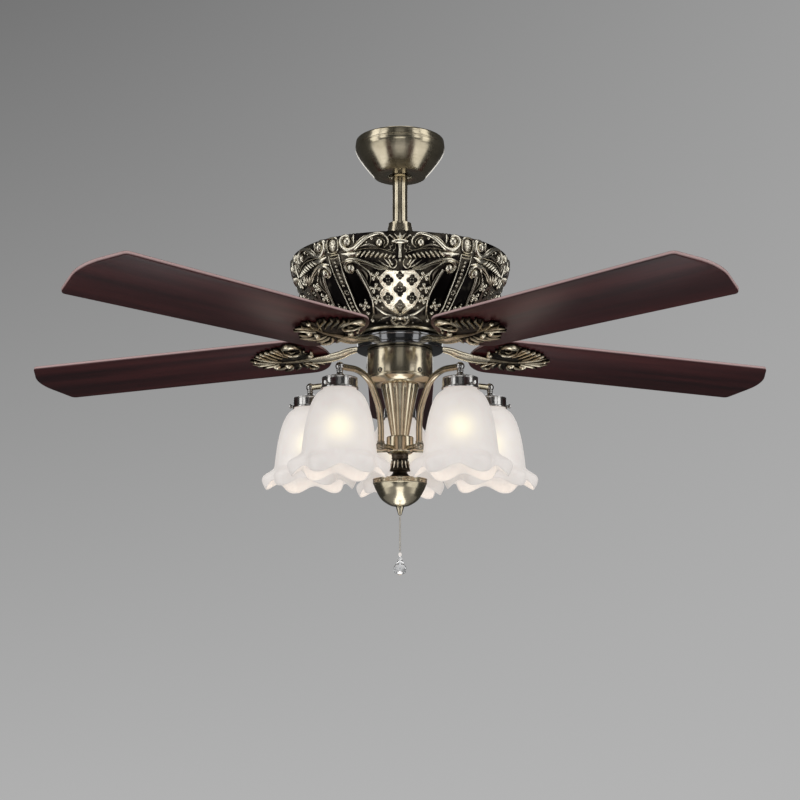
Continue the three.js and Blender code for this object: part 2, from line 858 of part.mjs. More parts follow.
function finialBowl() {
  const floor = -bowlBottom;
  const line = (inset) => [
    [bowlRadius - inset, -bowlTop],
    [bowlRadius - 1.2 - inset, -bowlTop - 7.2],
    [bowlRadius - 5.4 - inset, -bowlTop - 18],
    [bowlRadius - 14 - inset, -bowlTop - 32.4 + inset / 2],
    [bowlRadius - 27 - inset / 2, -bowlTop - 41.5 + inset],
  ];
  const hole = noseRadius + fit;
  return ring(
    [...line(0), [spoutRadius, floor], [hole, floor], [hole, floor + sheet],
      ...line(sheet).reverse()],
    fine,
  );
}

const chainSpout = () =>
  ring([
    [noseRadius + fit, -bowlBottom - fit],
    [spoutRadius, -bowlBottom - fit],
    [spoutTipRadius, -spoutTip],
    [chainBore, -spoutTip],
    [chainBore, -bowlBottom - 5],
    [noseRadius + fit, -bowlBottom - 4],
  ], small);

/** The switch in the bowl: its threaded nose goes down through the bowl into the spout. */
function pullSwitch() {
  const top = -bowlTop - pullSwitchDrop;
  const seat = -bowlBottom + sheet + noseLength;
  return ring([
    [chainBore, top],
    [pullSwitchRadius, top],
    [pullSwitchRadius, seat],
    [noseRadius + 1.2, seat],
    [noseRadius + 1.2, seat - noseLength + fit],
    [noseRadius, seat - noseLength + fit],
    [noseRadius, -bowlBottom - 3.5],
    [chainBore, -bowlBottom - 3.5],
  ], round);
}

/** Beads on a wire, each drawn as two cones. Inside the spout and the switch it is a plain wire. */
function pullChain() {
  const wire = 0.5;
  const line = [[0, -chainTop], [1, -chainTop], [1, -spoutTip + beadPitch]];
  for (let z = -spoutTip + beadPitch / 2; z > -crystalTop + beadPitch; z -= beadPitch) {
    line.push([wire, z], [beadRadius, z - beadPitch / 2]);
  }
  line.push([wire, -crystalTop + fit], [0, -crystalTop + fit]);
  return turned(line, 5);
}

const crystal = () =>
  turned([
    [0, -crystalTop],
    [2.4, -crystalTop - 1.5],
    [2.4, -crystalTop - 4],
    [1.2, -crystalTop - 6],
    [3, -crystalTop - 8.5],
    [crystalRadius, -crystalBottom + 10],
    [crystalRadius - 1.6, -crystalBottom + 4.5],
    [0, -crystalBottom],
  ], 8);

// ---------------------------------------------------------------- arms and lamps

/** One light arm: a tube from the nut beside the collar, up and out into the lamp's knob. */
function lightArm() {
  const top = -knobDepth;
  const span = lampRadius - armReach;
  const at = (share, z) => new THREE.Vector3(armReach + share * span, 0, z);
  const path = new THREE.CatmullRomCurve3([
    at(0, -stubDepth + 5),
    at(0.005, -stubDepth + 35),
    at(0.06, top - 47.5),
    at(0.19, top - 24),
    at(0.28, top - 12),
    at(0.43, top - 2.8),
    at(0.62, top + 1.6),
    at(0.8, top + 1),
    at(1 - 3 / span, top),
  ]);
  const section = new THREE.Shape().absarc(0, 0, armRadius, 0, 2 * Math.PI);
  const tube = new THREE.ExtrudeGeometry(section, {
    steps: 8, curveSegments: 4, extrudePath: path,
  });
  const nut = turned([
    [0, -stubDepth + 7],
    [armRadius + 1, -stubDepth + 7],
    [nutRadius, -stubDepth - 1.5],
    [nutRadius - 0.6, -stubDepth - 5],
    [0, -stubDepth - 6.5],
  ], small).translate(armReach, 0, 0);
  const socket = rodAlongX(
    stubRadius + fit, armReach - nutRadius - 2, armReach - nutRadius + 4 + fit, -stubDepth,
  );
  return cut(fuse(tube, nut), socket);
}

/** Knob, shouldered cup and lamp socket in one piece, drawn about the lamp's own axis. */
function lampHolder() {
  const stem = 4.4;
  const inside = cupRadius - 1.3;
  const holder = turned([
    [0, -knobDepth + knobRadius],
    ...arc(0, -knobDepth, knobRadius, 48, -48, 2),
    [stem, -cupShoulder + 11.5],
    [stem + 5.6, -cupShoulder + 8],
    [cupRadius, -cupShoulder],
    [cupRadius, -cupBottom],
    [inside, -cupBottom],
    [inside, -cupShoulder - 3],
    [socketRadius, -cupShoulder - 1.5],
    [socketRadius, -socketBottom],
    [socketRadius - 3, -socketBottom],
    [socketRadius - 3, -cupShoulder - 4],
    [0, -cupShoulder - 4],
  ], lampSides);
  const armHole = rodAlongX(armRadius + fit, -knobRadius - 4, -3 + fit, -knobDepth);
  return cut(holder, armHole);
}

const bulb = () =>
  turned([
    [0, -cupShoulder - 4 - fit],
    [socketRadius - 3 - fit, -cupShoulder - 4 - fit],
    [socketRadius - 3 - fit, -socketBottom - 2],
    [socketRadius, -bulbBottom + 58],
    [bulbRadius - 3, -bulbBottom + 42],
    [bulbRadius, -bulbBottom + 24],
    [bulbRadius - 9, -bulbBottom + 4],
    [0, -bulbBottom],
  ], lampSides);

/** A glass bell with a neck that stands in the cup and a rim that flares into petals. */
function shade(hand) {
  const neck = (cupRadius - 1.3) * Math.cos(Math.PI / lampSides) - fit; // inside the cup's flats
  const body = [
    [neck, -cupShoulder - 4.5],
    [neck, -cupBottom - 0.6],
    [shadeRadius - 17.5, -cupBottom - 14],
    [shadeRadius - 7.6, -cupBottom - 42],
    [shadeRadius - 2.2, -cupBottom - 72],
    [shadeRadius, -shadeFlareTop],
  ];
  const crest = [
    [shadeRadius + 11.2, -shadeFlareTop - 8],
    [petalCrestRadius, -shadeFlareTop - 20],
    [petalCrestRadius - 4, -petalTip],
  ];
  const valley = [
    [shadeRadius + 1.6, -shadeFlareTop - 12],
    [shadeRadius + 4.6, -shadeFlareTop - 24],
    [shadeRadius + 6.6, -petalValley],
  ];
  // each petal has two lines on its broad crest and one in the narrow valley beside it
  const petalLines = [[-17, 1], [17, 1], [30, 0]];
  const innerRows = [0, 2, 5, 7, 8];
  const bearings = [];
  const lines = [];
  for (let j = 0; j < petals * petalLines.length; j++) {
    const [offset, wave] = petalLines[j % petalLines.length];
    const petal = Math.floor(j / petalLines.length);
    bearings.push((360 * petal) / petals + (offset * 6) / petals);
    const line = [...body];
    crest.forEach(([r, z], i) => {
      const [valleyR, valleyZ] = valley[i];
      line.push([valleyR + (r - valleyR) * wave, valleyZ + (z - valleyZ) * wave]);
    });
    const inside = inwards(line, glassWall).filter((_, row) => innerRows.includes(row));
    lines.push([...line, ...inside.reverse()]);
  }
  const grid = lines[0].map((_, row) =>
    lines.map((line, j) => {
      const turn = radians(bearings[j] + hand * petalTurn);
      const [r, z] = line[row];
      return [r * Math.cos(turn), r * Math.sin(turn), z];
    }),
  );
  return skin(grid, true);
}

/** A profile that runs down the outside, moved by the wall towards the inside. */
function inwards(line, wall) {
  return line.map(([r, z], i) => {
    const [r0, z0] = line[Math.max(i - 1, 0)];
    const [r1, z1] = line[Math.min(i + 1, line.length - 1)];
    const length = Math.hypot(r1 - r0, z1 - z0);
    return [r + (wall * (z1 - z0)) / length, z - (wall * (r1 - r0)) / length];
  });
}

// ---------------------------------------------------------------- assembly

/** Bearing of a station about the fan's axis: the first is at the back, along +Y. */
function stationTurn(i) {
  return Math.PI / 2 + (2 * Math.PI * i) / stations;
}

function named(name, geometry, material) {
  const mesh = new THREE.Mesh(geometry, material);
  mesh.name = name;
  return mesh;
}

function ceilingSide() {
  const group = new THREE.Group();
  group.add(
    named("hanger_bracket", hangerBracket(), steel),
    named("canopy", canopy(), antiqueBrass),
    named("canopy_screw_left", canopyScrew(-1), steel),
    named("canopy_screw_right", canopyScrew(1), steel),
  );
  return group;
}

function hangingSide() {
  const group = new THREE.Group();
  group.add(
    named("hanger_ball", hangerBall(), paintedSteel),
    named("ball_cross_pin", crossPin(ballDrop, ballRadius - 1.5), steel),
    named("downrod", downrod(), antiqueBrass),
    named("yoke", yoke(), paintedSteel),
    named("yoke_clevis_pin", crossPin(clevisDepth, rodRadius + yokeWall + 1.5), steel),
    named("yoke_cover", yokeCover(), antiqueBrass),
    named("housing_lid", housingLid(), castBrass),
    named("motor_housing", motorHousing(), castBrass),
    named("motor_shaft", motorShaft(), steel),
    named("stator", stator(), steel),
    named("switch_housing_plate", switchPlate(), paintedSteel),
    named("switch_housing", switchHousing(), antiqueBrass),
    named("fitter_plate", fitterPlate(), antiqueBrass),
    named("vase", vase(), antiqueBrass),
    named("arm_hub", armHub(), antiqueBrass),
    named("finial_neck", finialNeck(), castBrass),
    named("bowl_lid", bowlLid(), antiqueBrass),
    named("finial_bowl", finialBowl(), antiqueBrass),
    named("pull_switch", pullSwitch(), paintedSteel),
    named("chain_spout", chainSpout(), antiqueBrass),
  );
  for (let i = 0; i < stations; i++) {
    const station = new THREE.Group();
    station.rotation.z = stationTurn(i);
    station.add(named(`light_arm_${i + 1}`, lightArm(), antiqueBrass));
    const lamp = new THREE.Group();
    lamp.position.x = lampRadius;
    lamp.add(
      named(`lamp_holder_${i + 1}`, lampHolder(), blackNickel),
      named(`bulb_${i + 1}`, bulb(), bulbGlass),
      named(`shade_${i + 1}`, shade(bladeHands[i]), frostedGlass),
    );
    station.add(lamp);
    group.add(station);
  }
  return group;
}

function rotorSide() {
  const group = new THREE.Group();
  group.add(
    named("rotor_shell", rotorShell(), paintedSteel),
    named("bearing_upper", bearing(rotorTop - 2), steel),
    named("bearing_lower", bearing(rotorTop + rotorHeight - 6), steel),
    named("blade_hub", bladeHub(), blackNickel),
  );
  for (let i = 0; i < stations; i++) {
    const station = new THREE.Group();
    station.rotation.z = stationTurn(i);
    station.add(
      named(`blade_iron_${i + 1}`, bladeIron(bladeHands[i]), castBrass),
      named(`blade_${i + 1}`, blade(bladeHands[i]), darkWood),
    );
    group.add(station);
  }
  return group;
}

function chainSide() {
  const group = new THREE.Group();
  group.add(
    named("pull_chain", pullChain(), steel),
    named("crystal", crystal(), clearCrystal),
  );
  return group;
}

const fan = new THREE.Group();
fan.add(ceilingSide(), hangingSide(), rotorSide(), chainSide());

export default fan;
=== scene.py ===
"""The looks of a five-blade ceiling fan with a five-arm light kit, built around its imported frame.

Sizes are in millimetres, and a mesh is brought to metres when it becomes a piece. Heights are
negative, because the origin lies in the plane of the ceiling and the fan hangs below it.
"""

import logging
import math
from bisect import bisect
from dataclasses import dataclass, field
from enum import Enum
from typing import Callable, Iterable, Sequence

import bmesh
import bpy
from mathutils import Matrix, Vector
from mathutils.geometry import interpolate_bezier


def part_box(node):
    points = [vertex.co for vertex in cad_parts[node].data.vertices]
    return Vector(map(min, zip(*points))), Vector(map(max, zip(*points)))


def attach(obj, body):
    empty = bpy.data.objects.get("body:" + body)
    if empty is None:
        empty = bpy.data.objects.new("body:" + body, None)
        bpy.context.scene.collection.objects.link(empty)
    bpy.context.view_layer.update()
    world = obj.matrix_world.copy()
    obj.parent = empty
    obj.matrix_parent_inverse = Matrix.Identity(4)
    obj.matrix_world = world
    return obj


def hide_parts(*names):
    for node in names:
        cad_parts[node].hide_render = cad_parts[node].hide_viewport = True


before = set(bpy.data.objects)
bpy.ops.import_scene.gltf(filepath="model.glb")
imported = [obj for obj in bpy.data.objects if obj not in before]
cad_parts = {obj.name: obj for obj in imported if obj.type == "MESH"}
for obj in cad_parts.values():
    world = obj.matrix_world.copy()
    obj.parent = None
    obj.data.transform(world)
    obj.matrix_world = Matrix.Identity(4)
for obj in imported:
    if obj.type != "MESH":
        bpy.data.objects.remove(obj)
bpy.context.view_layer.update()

LOG = logging.getLogger("ceiling_fan")
MM = 0.001
STATIONS = 5
MIRRORED = (4, 5)  # stations whose blade and shade are handed the other way
ROUND_STEPS = 96
MERGE = 0.002
TURN = 2 * math.pi
PANEL = 360 / STATIONS  # degrees from the middle of one panel to the next
ONTO_X = Matrix.Rotation(math.pi / 2, 4, "Y")  # lays what is turned about Z along X

BMesh = bmesh.types.BMesh
Socket = bpy.types.NodeSocket
Triple = tuple[float, float, float]
Colour = Triple
Spot = tuple[float, float]
Profile = Sequence[Spot]
Ground = Callable[[float, float, float], Vector]


# ---------------------------------------------------------------- bodies, places, stations


class Body(Enum):
    """The rigid bodies that pieces ride on."""

    CEILING = "ceiling"
    HANGING = "hanging"
    ROTOR = "rotor"
    CHAIN = "chain"


@dataclass(frozen=True)
class Place:
    """Where a CAD node lies, in millimetres."""

    low: Vector
    high: Vector

    @classmethod
    def of(cls, node: str) -> "Place":
        """The place of the node with that name."""
        low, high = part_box(node)
        return cls(low / MM, high / MM)

    @property
    def top(self) -> float:
        """Height of the highest point."""
        return self.high.z

    @property
    def bottom(self) -> float:
        """Height of the lowest point."""
        return self.low.z

    @property
    def middle(self) -> Vector:
        """Middle of the box."""
        return (self.low + self.high) / 2

    @property
    def radius(self) -> float:
        """Half of the width along X, which is the radius of a piece that is turned about Z."""
        return (self.high.x - self.low.x) / 2


def stations() -> Iterable[tuple[int, Matrix]]:
    """Number and turn of each station of blade, arm and lamp; the first is at the back."""
    for i in range(STATIONS):
        yield i + 1, Matrix.Rotation(math.pi / 2 + TURN * i / STATIONS, 4, "Z")


def hand_of(station: int) -> int:
    """1 where the blade's raised edge leads counter-clockwise, -1 on the two mirrored stations."""
    return -1 if station in MIRRORED else 1


def clamped(value: float) -> float:
    """The value, kept between 0 and 1."""
    return min(max(value, 0.0), 1.0)


# ---------------------------------------------------------------- node sheets and finishes


class NodeSheet:
    """The nodes of a material or a world, with short ways to add the ones that repeat."""

    def __init__(self, owner: bpy.types.Material | bpy.types.World, kind: str = "Material") -> None:
        """Clears the owner's nodes and lays down its output."""
        owner.use_nodes = True
        self.tree = owner.node_tree
        self.tree.nodes.clear()
        self.output = self.tree.nodes.new("ShaderNodeOutput" + kind)

    def give(self, socket: Socket, value: object) -> None:
        """Links an input to another socket, or sets its value."""
        if isinstance(value, Socket):
            self.tree.links.new(value, socket)
        else:
            socket.default_value = value

    def add(
        self, kind: str, settings: dict[str, object] | None = None, **inputs: object
    ) -> bpy.types.Node:
        """Adds a node.

        Args:
            kind: the node's type without its ShaderNode prefix.
            settings: properties to set on the node.
            inputs: a value or a socket for each input, with _ for a space in its name.

        Returns:
            The new node.
        """
        node = self.tree.nodes.new("ShaderNode" + kind)
        for key, value in (settings or {}).items():
            setattr(node, key, value)
        for key, value in inputs.items():
            self.give(node.inputs[key.replace("_", " ")], value)
        return node

    def attribute(self, name: str, output: str = "Fac") -> Socket:
        """A mesh attribute of that name."""
        return self.add("Attribute", {"attribute_name": name}).outputs[output]

    def noise(
        self,
        scale: float,
        detail: float = 3.0,
        stretch: Triple = (1.0, 1.0, 1.0),
        place: Socket | None = None,
    ) -> Socket:
        """Noise with values about 0.5.

        Args:
            scale: how fine it is.
            detail: octaves of finer noise.
            stretch: scale along each axis.
            place: the coordinates, or the object's own ones.
        """
        if place is None:
            place = self.add("TexCoord").outputs["Object"]
        vector = self.add("Mapping", Vector=place, Scale=stretch).outputs[0]
        return self.add("TexNoise", Vector=vector, Scale=scale, Detail=detail).outputs["Fac"]

    def ramp(self, factor: Socket, stops: Sequence[tuple[float, Colour]]) -> Socket:
        """A colour for each value of the factor, between the given stops."""
        node = self.add("ValToRGB", Fac=factor)
        elements = node.color_ramp.elements
        while len(elements) < len(stops):
            elements.new(0.5)
        for element, (position, colour) in zip(elements, stops):
            element.position = position
            element.color = (*colour, 1.0)
        return node.outputs["Color"]

    def span(
        self, value: Socket, low: float, high: float, start: float = 0.3, end: float = 0.7
    ) -> Socket:
        """Maps values between start and end to the range from low to high."""
        return self.add(
            "MapRange", Value=value, From_Min=start, From_Max=end, To_Min=low, To_Max=high
        ).outputs["Result"]

    def calculate(self, operation: str, *values: Socket | float) -> Socket:
        """One step of arithmetic."""
        node = self.add("Math", {"operation": operation})
        for socket, value in zip(node.inputs, values):
            self.give(socket, value)
        return node.outputs[0]

    def mix(self, factor: Socket, first: object, second: object, colours: bool = True) -> Socket:
        """A colour or a number between two others."""
        node = self.add("Mix", {"data_type": "RGBA" if colours else "FLOAT"})
        inputs, output = ((0, 6, 7), 2) if colours else ((0, 2, 3), 0)
        for number, value in zip(inputs, (factor, first, second)):
            self.give(node.inputs[number], value)
        return node.outputs[output]

    def blend(self, first: bpy.types.Node, second: bpy.types.Node, share: float) -> bpy.types.Node:
        """The first shader with a share of the second one."""
        node = self.add("MixShader", Fac=share)
        self.give(node.inputs[1], first.outputs[0])
        self.give(node.inputs[2], second.outputs[0])
        return node

    def bump(self, height: Socket, depth: float) -> Socket:
        """A bump of so many metres between height 0 and height 1."""
        return self.add("Bump", Height=height, Distance=depth, Strength=1.0).outputs["Normal"]

    def finish(self, shader: bpy.types.Node) -> None:
        """Joins the shader to the output."""
        self.give(self.output.inputs["Surface"], shader.outputs[0])

    def surface(self, **inputs: object) -> None:
        """Finishes the sheet with one principled shader."""
        self.finish(self.add("BsdfPrincipled", **inputs))


@dataclass(frozen=True)
class Finish:
    """A finish that a piece is dressed in."""

    name: str
    slot: str

    def material(self) -> bpy.types.Material:
        """The finish's material, drawn once."""
        title = f"{self.name} finish"
        made = bpy.data.materials.get(title)
        if made is None:
            made = bpy.data.materials.new(title)
            self.draw(NodeSheet(made))
        return made

    def draw(self, sheet: NodeSheet) -> None:
        """Draws the finish's nodes on the sheet."""
        raise NotImplementedError


@dataclass(frozen=True)
class SpunMetal(Finish):
    """Metal brushed or turned round the fan's axis, with cloudy antiquing."""

    light: Colour
    dark: Colour
    roughness: float
    brushing: float = 0.06

    def draw(self, sheet: NodeSheet) -> None:
        """Fine level lines in roughness and bump, and soft clouds in colour."""
        lines = sheet.noise(1.0, 2.0, (4.0, 4.0, 1400.0))
        clouds = sheet.noise(26.0, 4.0, (1.0, 1.0, 1.6))
        low = max(self.roughness - self.brushing, 0.02)
        sheet.surface(
            Base_Color=sheet.ramp(clouds, [(0.32, self.dark), (0.62, self.light)]),
            Metallic=1.0,
            Roughness=sheet.span(lines, low, self.roughness + self.brushing),
            Normal=sheet.bump(lines, 0.00002),
        )


@dataclass(frozen=True)
class CarvedMetal(Finish):
    """Cast metal whose hollows are stained dark and whose high places are rubbed bright."""

    crest: Colour
    middle: Colour
    hollow: Colour
    roughness: float = 0.24

    def draw(self, sheet: NodeSheet) -> None:
        """Colour by the carving's height, which the mesh carries as its relief attribute."""
        stain = sheet.span(sheet.noise(60.0), -0.14, 0.14)
        height = sheet.calculate("ADD", sheet.attribute("relief"), stain)
        tones = [(0.06, self.hollow), (0.42, self.middle), (0.8, self.crest)]
        sheet.surface(
            Base_Color=sheet.ramp(height, tones),
            Metallic=1.0,
            Roughness=sheet.span(height, self.roughness + 0.2, self.roughness, 0.0, 0.8),
            Normal=sheet.bump(sheet.noise(420.0), 0.00006),
        )


@dataclass(frozen=True)
class SmoothMetal(Finish):
    """Plated or painted metal with a faint haze in its gloss and in its surface."""

    colour: Colour
    roughness: float
    spread: float = 0.08
    metallic: float = 1.0
    grain: float = 90.0
    detail: float = 3.0
    depth: float = 0.00003

    def draw(self, sheet: NodeSheet) -> None:
        """Haze in roughness and the faintest ripple in the surface."""
        haze = sheet.noise(self.grain, self.detail)
        sheet.surface(
            Base_Color=(*self.colour, 1.0),
            Metallic=self.metallic,
            Roughness=sheet.span(haze, self.roughness, self.roughness + self.spread),
            Normal=sheet.bump(haze, self.depth),
        )


@dataclass(frozen=True)
class VeneeredWood(Finish):
    """Lacquered wood whose grain follows the board's own length."""

    light: Colour
    middle: Colour
    dark: Colour
    # colour of the painted highlight along the board's edge
    rim: Colour

    def draw(self, sheet: NodeSheet) -> None:
        """Long streaks and fine pores along the board, and a paler band on its edge that is a painted
        highlight.
        """
        board = sheet.attribute("grain", "Vector")
        streaks = sheet.noise(1.0, 6.0, (1.6, 34.0, 1.0), board)
        pores = sheet.noise(1.0, 2.0, (14.0, 900.0, 1.0), board)
        tone = sheet.calculate("MULTIPLY_ADD", pores, 0.35, streaks)
        colour = sheet.ramp(tone, [(0.5, self.dark), (0.68, self.middle), (0.86, self.light)])
        # the rim attribute marks where the painted highlight colour replaces the grain
        sheet.surface(
            Base_Color=sheet.mix(sheet.attribute("rim"), colour, (*self.rim, 1.0)),
            Roughness=sheet.span(pores, 0.32, 0.42),
            Normal=sheet.bump(pores, 0.00003),
            Specular_IOR_Level=0.25,
        )


@dataclass(frozen=True)
class FrostedGlass(Finish):
    """Etched white glass that spreads the lamp's light."""

    body: Colour
    bright: Colour
    # colours of the painted glow where it is faint and at its peak, and of its painted reflection;
    # then the strength of the even painted glow and of its brighter spot
    haze: Colour
    glow: Colour
    mirrored: Colour
    painted_glow_fill: float
    strength: float
    tightness: float = 11.0

    def draw(self, sheet: NodeSheet) -> None:
        """Etched skin over a translucent body; its emission is painted glow, with a brighter painted
        spot where the glow attribute peaks.
        """
        cloud = sheet.noise(55.0, 4.0)
        etch = sheet.noise(900.0, 2.0)
        normal = sheet.bump(etch, 0.00003)
        # painted glow: the lamp's light is painted brightest where the glass faces the viewer
        turned_away = sheet.add("LayerWeight", Blend=0.5).outputs["Facing"]
        facing = sheet.span(turned_away, 1.0, 0.0, 0.0, 1.0)
        spot = sheet.calculate("POWER", facing, self.tightness)
        glow = sheet.calculate("MULTIPLY", spot, sheet.attribute("glow"))
        # painted reflection: glossy rays see a warmer emission, so neighbouring surfaces mirror a warm
        # lamp
        glossy = sheet.add("LightPath").outputs["Is Glossy Ray"]
        lit = sheet.ramp(glow, [(0.0, self.haze), (0.45, self.glow)])
        skin = sheet.add(
            "BsdfPrincipled",
            Base_Color=sheet.ramp(cloud, [(0.3, self.body), (0.7, self.bright)]),
            Roughness=sheet.span(etch, 0.32, 0.5),
            Normal=normal,
            Emission_Color=sheet.mix(glossy, lit, (*self.mirrored, 1.0)),
            Emission_Strength=sheet.span(glow, self.painted_glow_fill, self.painted_glow_fill + self.strength, 0.0, 1.0),
        )
        through = sheet.add("BsdfTranslucent", Color=(*self.body, 1.0), Normal=normal)
        clear = sheet.add(
            "BsdfRefraction", Color=(0.97, 0.96, 0.95, 1.0), Roughness=0.42, IOR=1.12, Normal=normal
        )
        sheet.finish(sheet.blend(skin, sheet.blend(through, clear, 0.25), 0.1))


@dataclass(frozen=True)
class LitGlass(Finish):
    """The lit bulb: frosted glass that glows warm."""

    glow: Colour
    strength: float

    def draw(self, sheet: NodeSheet) -> None:
        """Glow that is a little uneven over the bulb."""
        sheet.surface(
            Base_Color=(0.9, 0.88, 0.82, 1.0),
            Roughness=0.3,
            Emission_Color=(*self.glow, 1.0),
            Emission_Strength=sheet.span(
                sheet.noise(30.0, 2.0), self.strength * 0.9, self.strength
            ),
        )


@dataclass(frozen=True)
class ClearGlass(Finish):
    """Cut clear crystal."""

    tint: Colour

    def draw(self, sheet: NodeSheet) -> None:
        """Sharp refraction with the faintest unevenness."""
        sheet.surface(
            Base_Color=(*self.tint, 1.0),
            Roughness=sheet.span(sheet.noise(150.0, 2.0), 0.0, 0.06),
            IOR=1.5,
            Transmission_Weight=1.0,
        )


BRASS = SpunMetal("antique_brass", "antique_brass", (0.62, 0.55, 0.41), (0.48, 0.42, 0.30), 0.2)
CAST = CarvedMetal(
    "cast_brass", "cast_brass", (0.80, 0.75, 0.62), (0.24, 0.21, 0.16), (0.012, 0.010, 0.010)
)
LEAF = CarvedMetal(
    "leaf_brass", "cast_iron_leaf", (0.82, 0.74, 0.57), (0.30, 0.25, 0.17), (0.02, 0.016, 0.012)
)
ORNAMENT = CarvedMetal(
    "dark_ornament", "dark_ornament", (0.70, 0.65, 0.53), (0.12, 0.10, 0.08), (0.010, 0.009, 0.008)
)
NICKEL = SmoothMetal("black_nickel", "black_nickel", (0.50, 0.49, 0.475), 0.12)
HUB_BLACK = SmoothMetal("black_hub", "black_hub", (0.19, 0.19, 0.195), 0.07)
STEEL = SpunMetal("steel", "steel", (0.52, 0.53, 0.55), (0.40, 0.41, 0.43), 0.34)
PAINT = SmoothMetal(
    "painted_steel", "painted_steel", (0.02, 0.02, 0.021), 0.4, 0.12, 0.35, 700.0, 2.0, 0.00005
)
CHAIN_METAL = SmoothMetal("bead_chain", "bead_chain", (0.66, 0.64, 0.58), 0.14)
# the last colour is the painted highlight on the boards' edges
WOOD = VeneeredWood(
    "mahogany", "dark_wood", (0.100, 0.021, 0.022), (0.060, 0.0112, 0.0132), (0.025, 0.0052, 0.007),
    (0.58, 0.40, 0.39),
)
# the glass's colours, then the painted glow's colours, its painted reflection colour, and the
# strengths of the even painted glow and of its spot
GLASS = FrostedGlass(
    "frosted_glass", "frosted_glass", (0.62, 0.60, 0.60), (0.69, 0.675, 0.67), (1.0, 0.93, 0.86),
    (1.0, 0.91, 0.64), (0.7, 0.48, 0.36), 0.395, 0.72,
)
BULB = LitGlass("lit_bulb", "bulb_glass", (1.0, 0.80, 0.55), 1.4)
CRYSTAL = ClearGlass("clear_crystal", "clear_crystal", (0.97, 0.98, 0.99))


# ---------------------------------------------------------------- making meshes


def outward(bm: BMesh) -> BMesh:
    """Turns all faces outwards."""
    bmesh.ops.recalc_face_normals(bm, faces=bm.faces[:])
    return bm


def only(kind: type, geometry: Iterable) -> list:
    """The vertices, edges or faces of a mixed list."""
    return [item for item in geometry if isinstance(item, kind)]


def bevel(bm: BMesh, geom: list, offset: float, kind: str, segments: int, clamp: bool) -> None:
    """Rounds some VERTICES or EDGES by an offset, in so many segments."""
    bmesh.ops.bevel(
        bm, geom=geom, offset=offset, offset_type="OFFSET", affect=kind, segments=segments,
        profile=0.5, material=-1, clamp_overlap=clamp,
    )


def spin(bm: BMesh, steps: int) -> None:
    """Draws a line round Z into a skin that meets itself."""
    bmesh.ops.spin(
        bm, geom=bm.verts[:] + bm.edges[:], axis=(0, 0, 1), cent=(0, 0, 0), dvec=(0, 0, 0),
        angle=TURN, steps=steps, use_merge=True, use_duplicate=False,
    )


def turned(
    points: Profile, rounding: float = 0.0, steps: int = ROUND_STEPS, closed: bool = False
) -> BMesh:
    """A solid of revolution about Z.

    Args:
        points: radius and height along the profile, from top to bottom on the outside.
        rounding: size of the small radius on every corner.
        steps: facets round the axis.
        closed: True for a ring whose profile comes back to its first point.

    Returns:
        A closed bmesh with its faces outwards.
    """
    bm = bmesh.new()
    line = [*points, points[0]] if closed else points
    corners = [bm.verts.new((r, 0, z)) for r, z in line]
    for pair in zip(corners, corners[1:]):
        bm.edges.new(pair)
    if rounding > 0:
        bevel(bm, corners[1:-1], rounding, "VERTICES", 3, True)
    spin(bm, steps)
    bmesh.ops.remove_doubles(bm, verts=bm.verts[:], dist=MERGE)
    bmesh.ops.dissolve_degenerate(bm, edges=bm.edges[:], dist=MERGE / 2)
    return outward(bm)


def flowing(knots: Sequence[Vector], steps: int) -> list[Vector]:
    """Points on a smooth curve through the knots, with so many steps between two of them."""
    ends = [2 * knots[0] - knots[1], *knots, 2 * knots[-1] - knots[-2]]
    points = []
    for before, start, end, after in zip(ends, ends[1:], ends[2:], ends[3:]):
        leave = start + (end - before) / 6
        arrive = end - (after - start) / 6
        points += interpolate_bezier(start, leave, arrive, end, steps + 1)[:-1]
    return [Vector(p) for p in points] + [knots[-1].copy()]


def upright(points: Profile) -> list[Vector]:
    """Radii and heights as points of the XZ plane."""
    return [Vector((r, 0, z)) for r, z in points]


def smoothed(*points: Spot) -> list[Spot]:
    """A smooth profile through the given radii and heights."""
    return [(p.x, p.z) for p in flowing(upright(points), 4)]


def below(height: float, *points: Spot) -> list[Spot]:
    """A profile given as radii and depths below a height."""
    return [(r, height - depth) for r, depth in points]


def swept(
    path: Sequence[Vector],
    widths: Sequence[float],
    heights: Sequence[float],
    normals: Sequence[Vector],
    sides: int = 8,
    roundness: float = 1.0,
) -> BMesh:
    """An oval section drawn along a path.

    Args:
        path: middle of each section.
        widths: half width of each section, across the path and along the surface.
        heights: half height of each section, along its normal.
        normals: direction of the section's height.
        sides: facets round the section.
        roundness: 1 for an oval, less for a section with flatter sides.

    Returns:
        A closed bmesh with its faces outwards.
    """
    bm = bmesh.new()
    bmesh.ops.create_circle(bm, cap_ends=True, segments=sides, radius=1.0)
    for vert in bm.verts:
        for k in (0, 1):
            vert.co[k] = math.copysign(abs(vert.co[k]) ** roundness, vert.co[k])
    edges = bm.edges[:]
    ring = bm.verts[:]
    placed = Matrix.Identity(4)
    for i, point in enumerate(path):
        along = (path[min(i + 1, len(path) - 1)] - path[max(i - 1, 0)]).normalized()
        across = normals[i].cross(along).normalized()
        up = along.cross(across)
        section = Matrix(
            [(*(across * widths[i]), 0), (*(up * heights[i]), 0), (*along, 0), (*point, 1)]
        ).transposed()
        if i > 0:
            grown = bmesh.ops.extrude_edge_only(bm, edges=edges)["geom"]
            ring = only(bmesh.types.BMVert, grown)
            fresh = set(ring)
            edges = [e for e in only(bmesh.types.BMEdge, grown) if fresh.issuperset(e.verts)]
        bmesh.ops.transform(bm, matrix=section @ placed.inverted(), verts=ring)
        placed = section
    bmesh.ops.contextual_create(bm, geom=edges)
    return outward(bm)


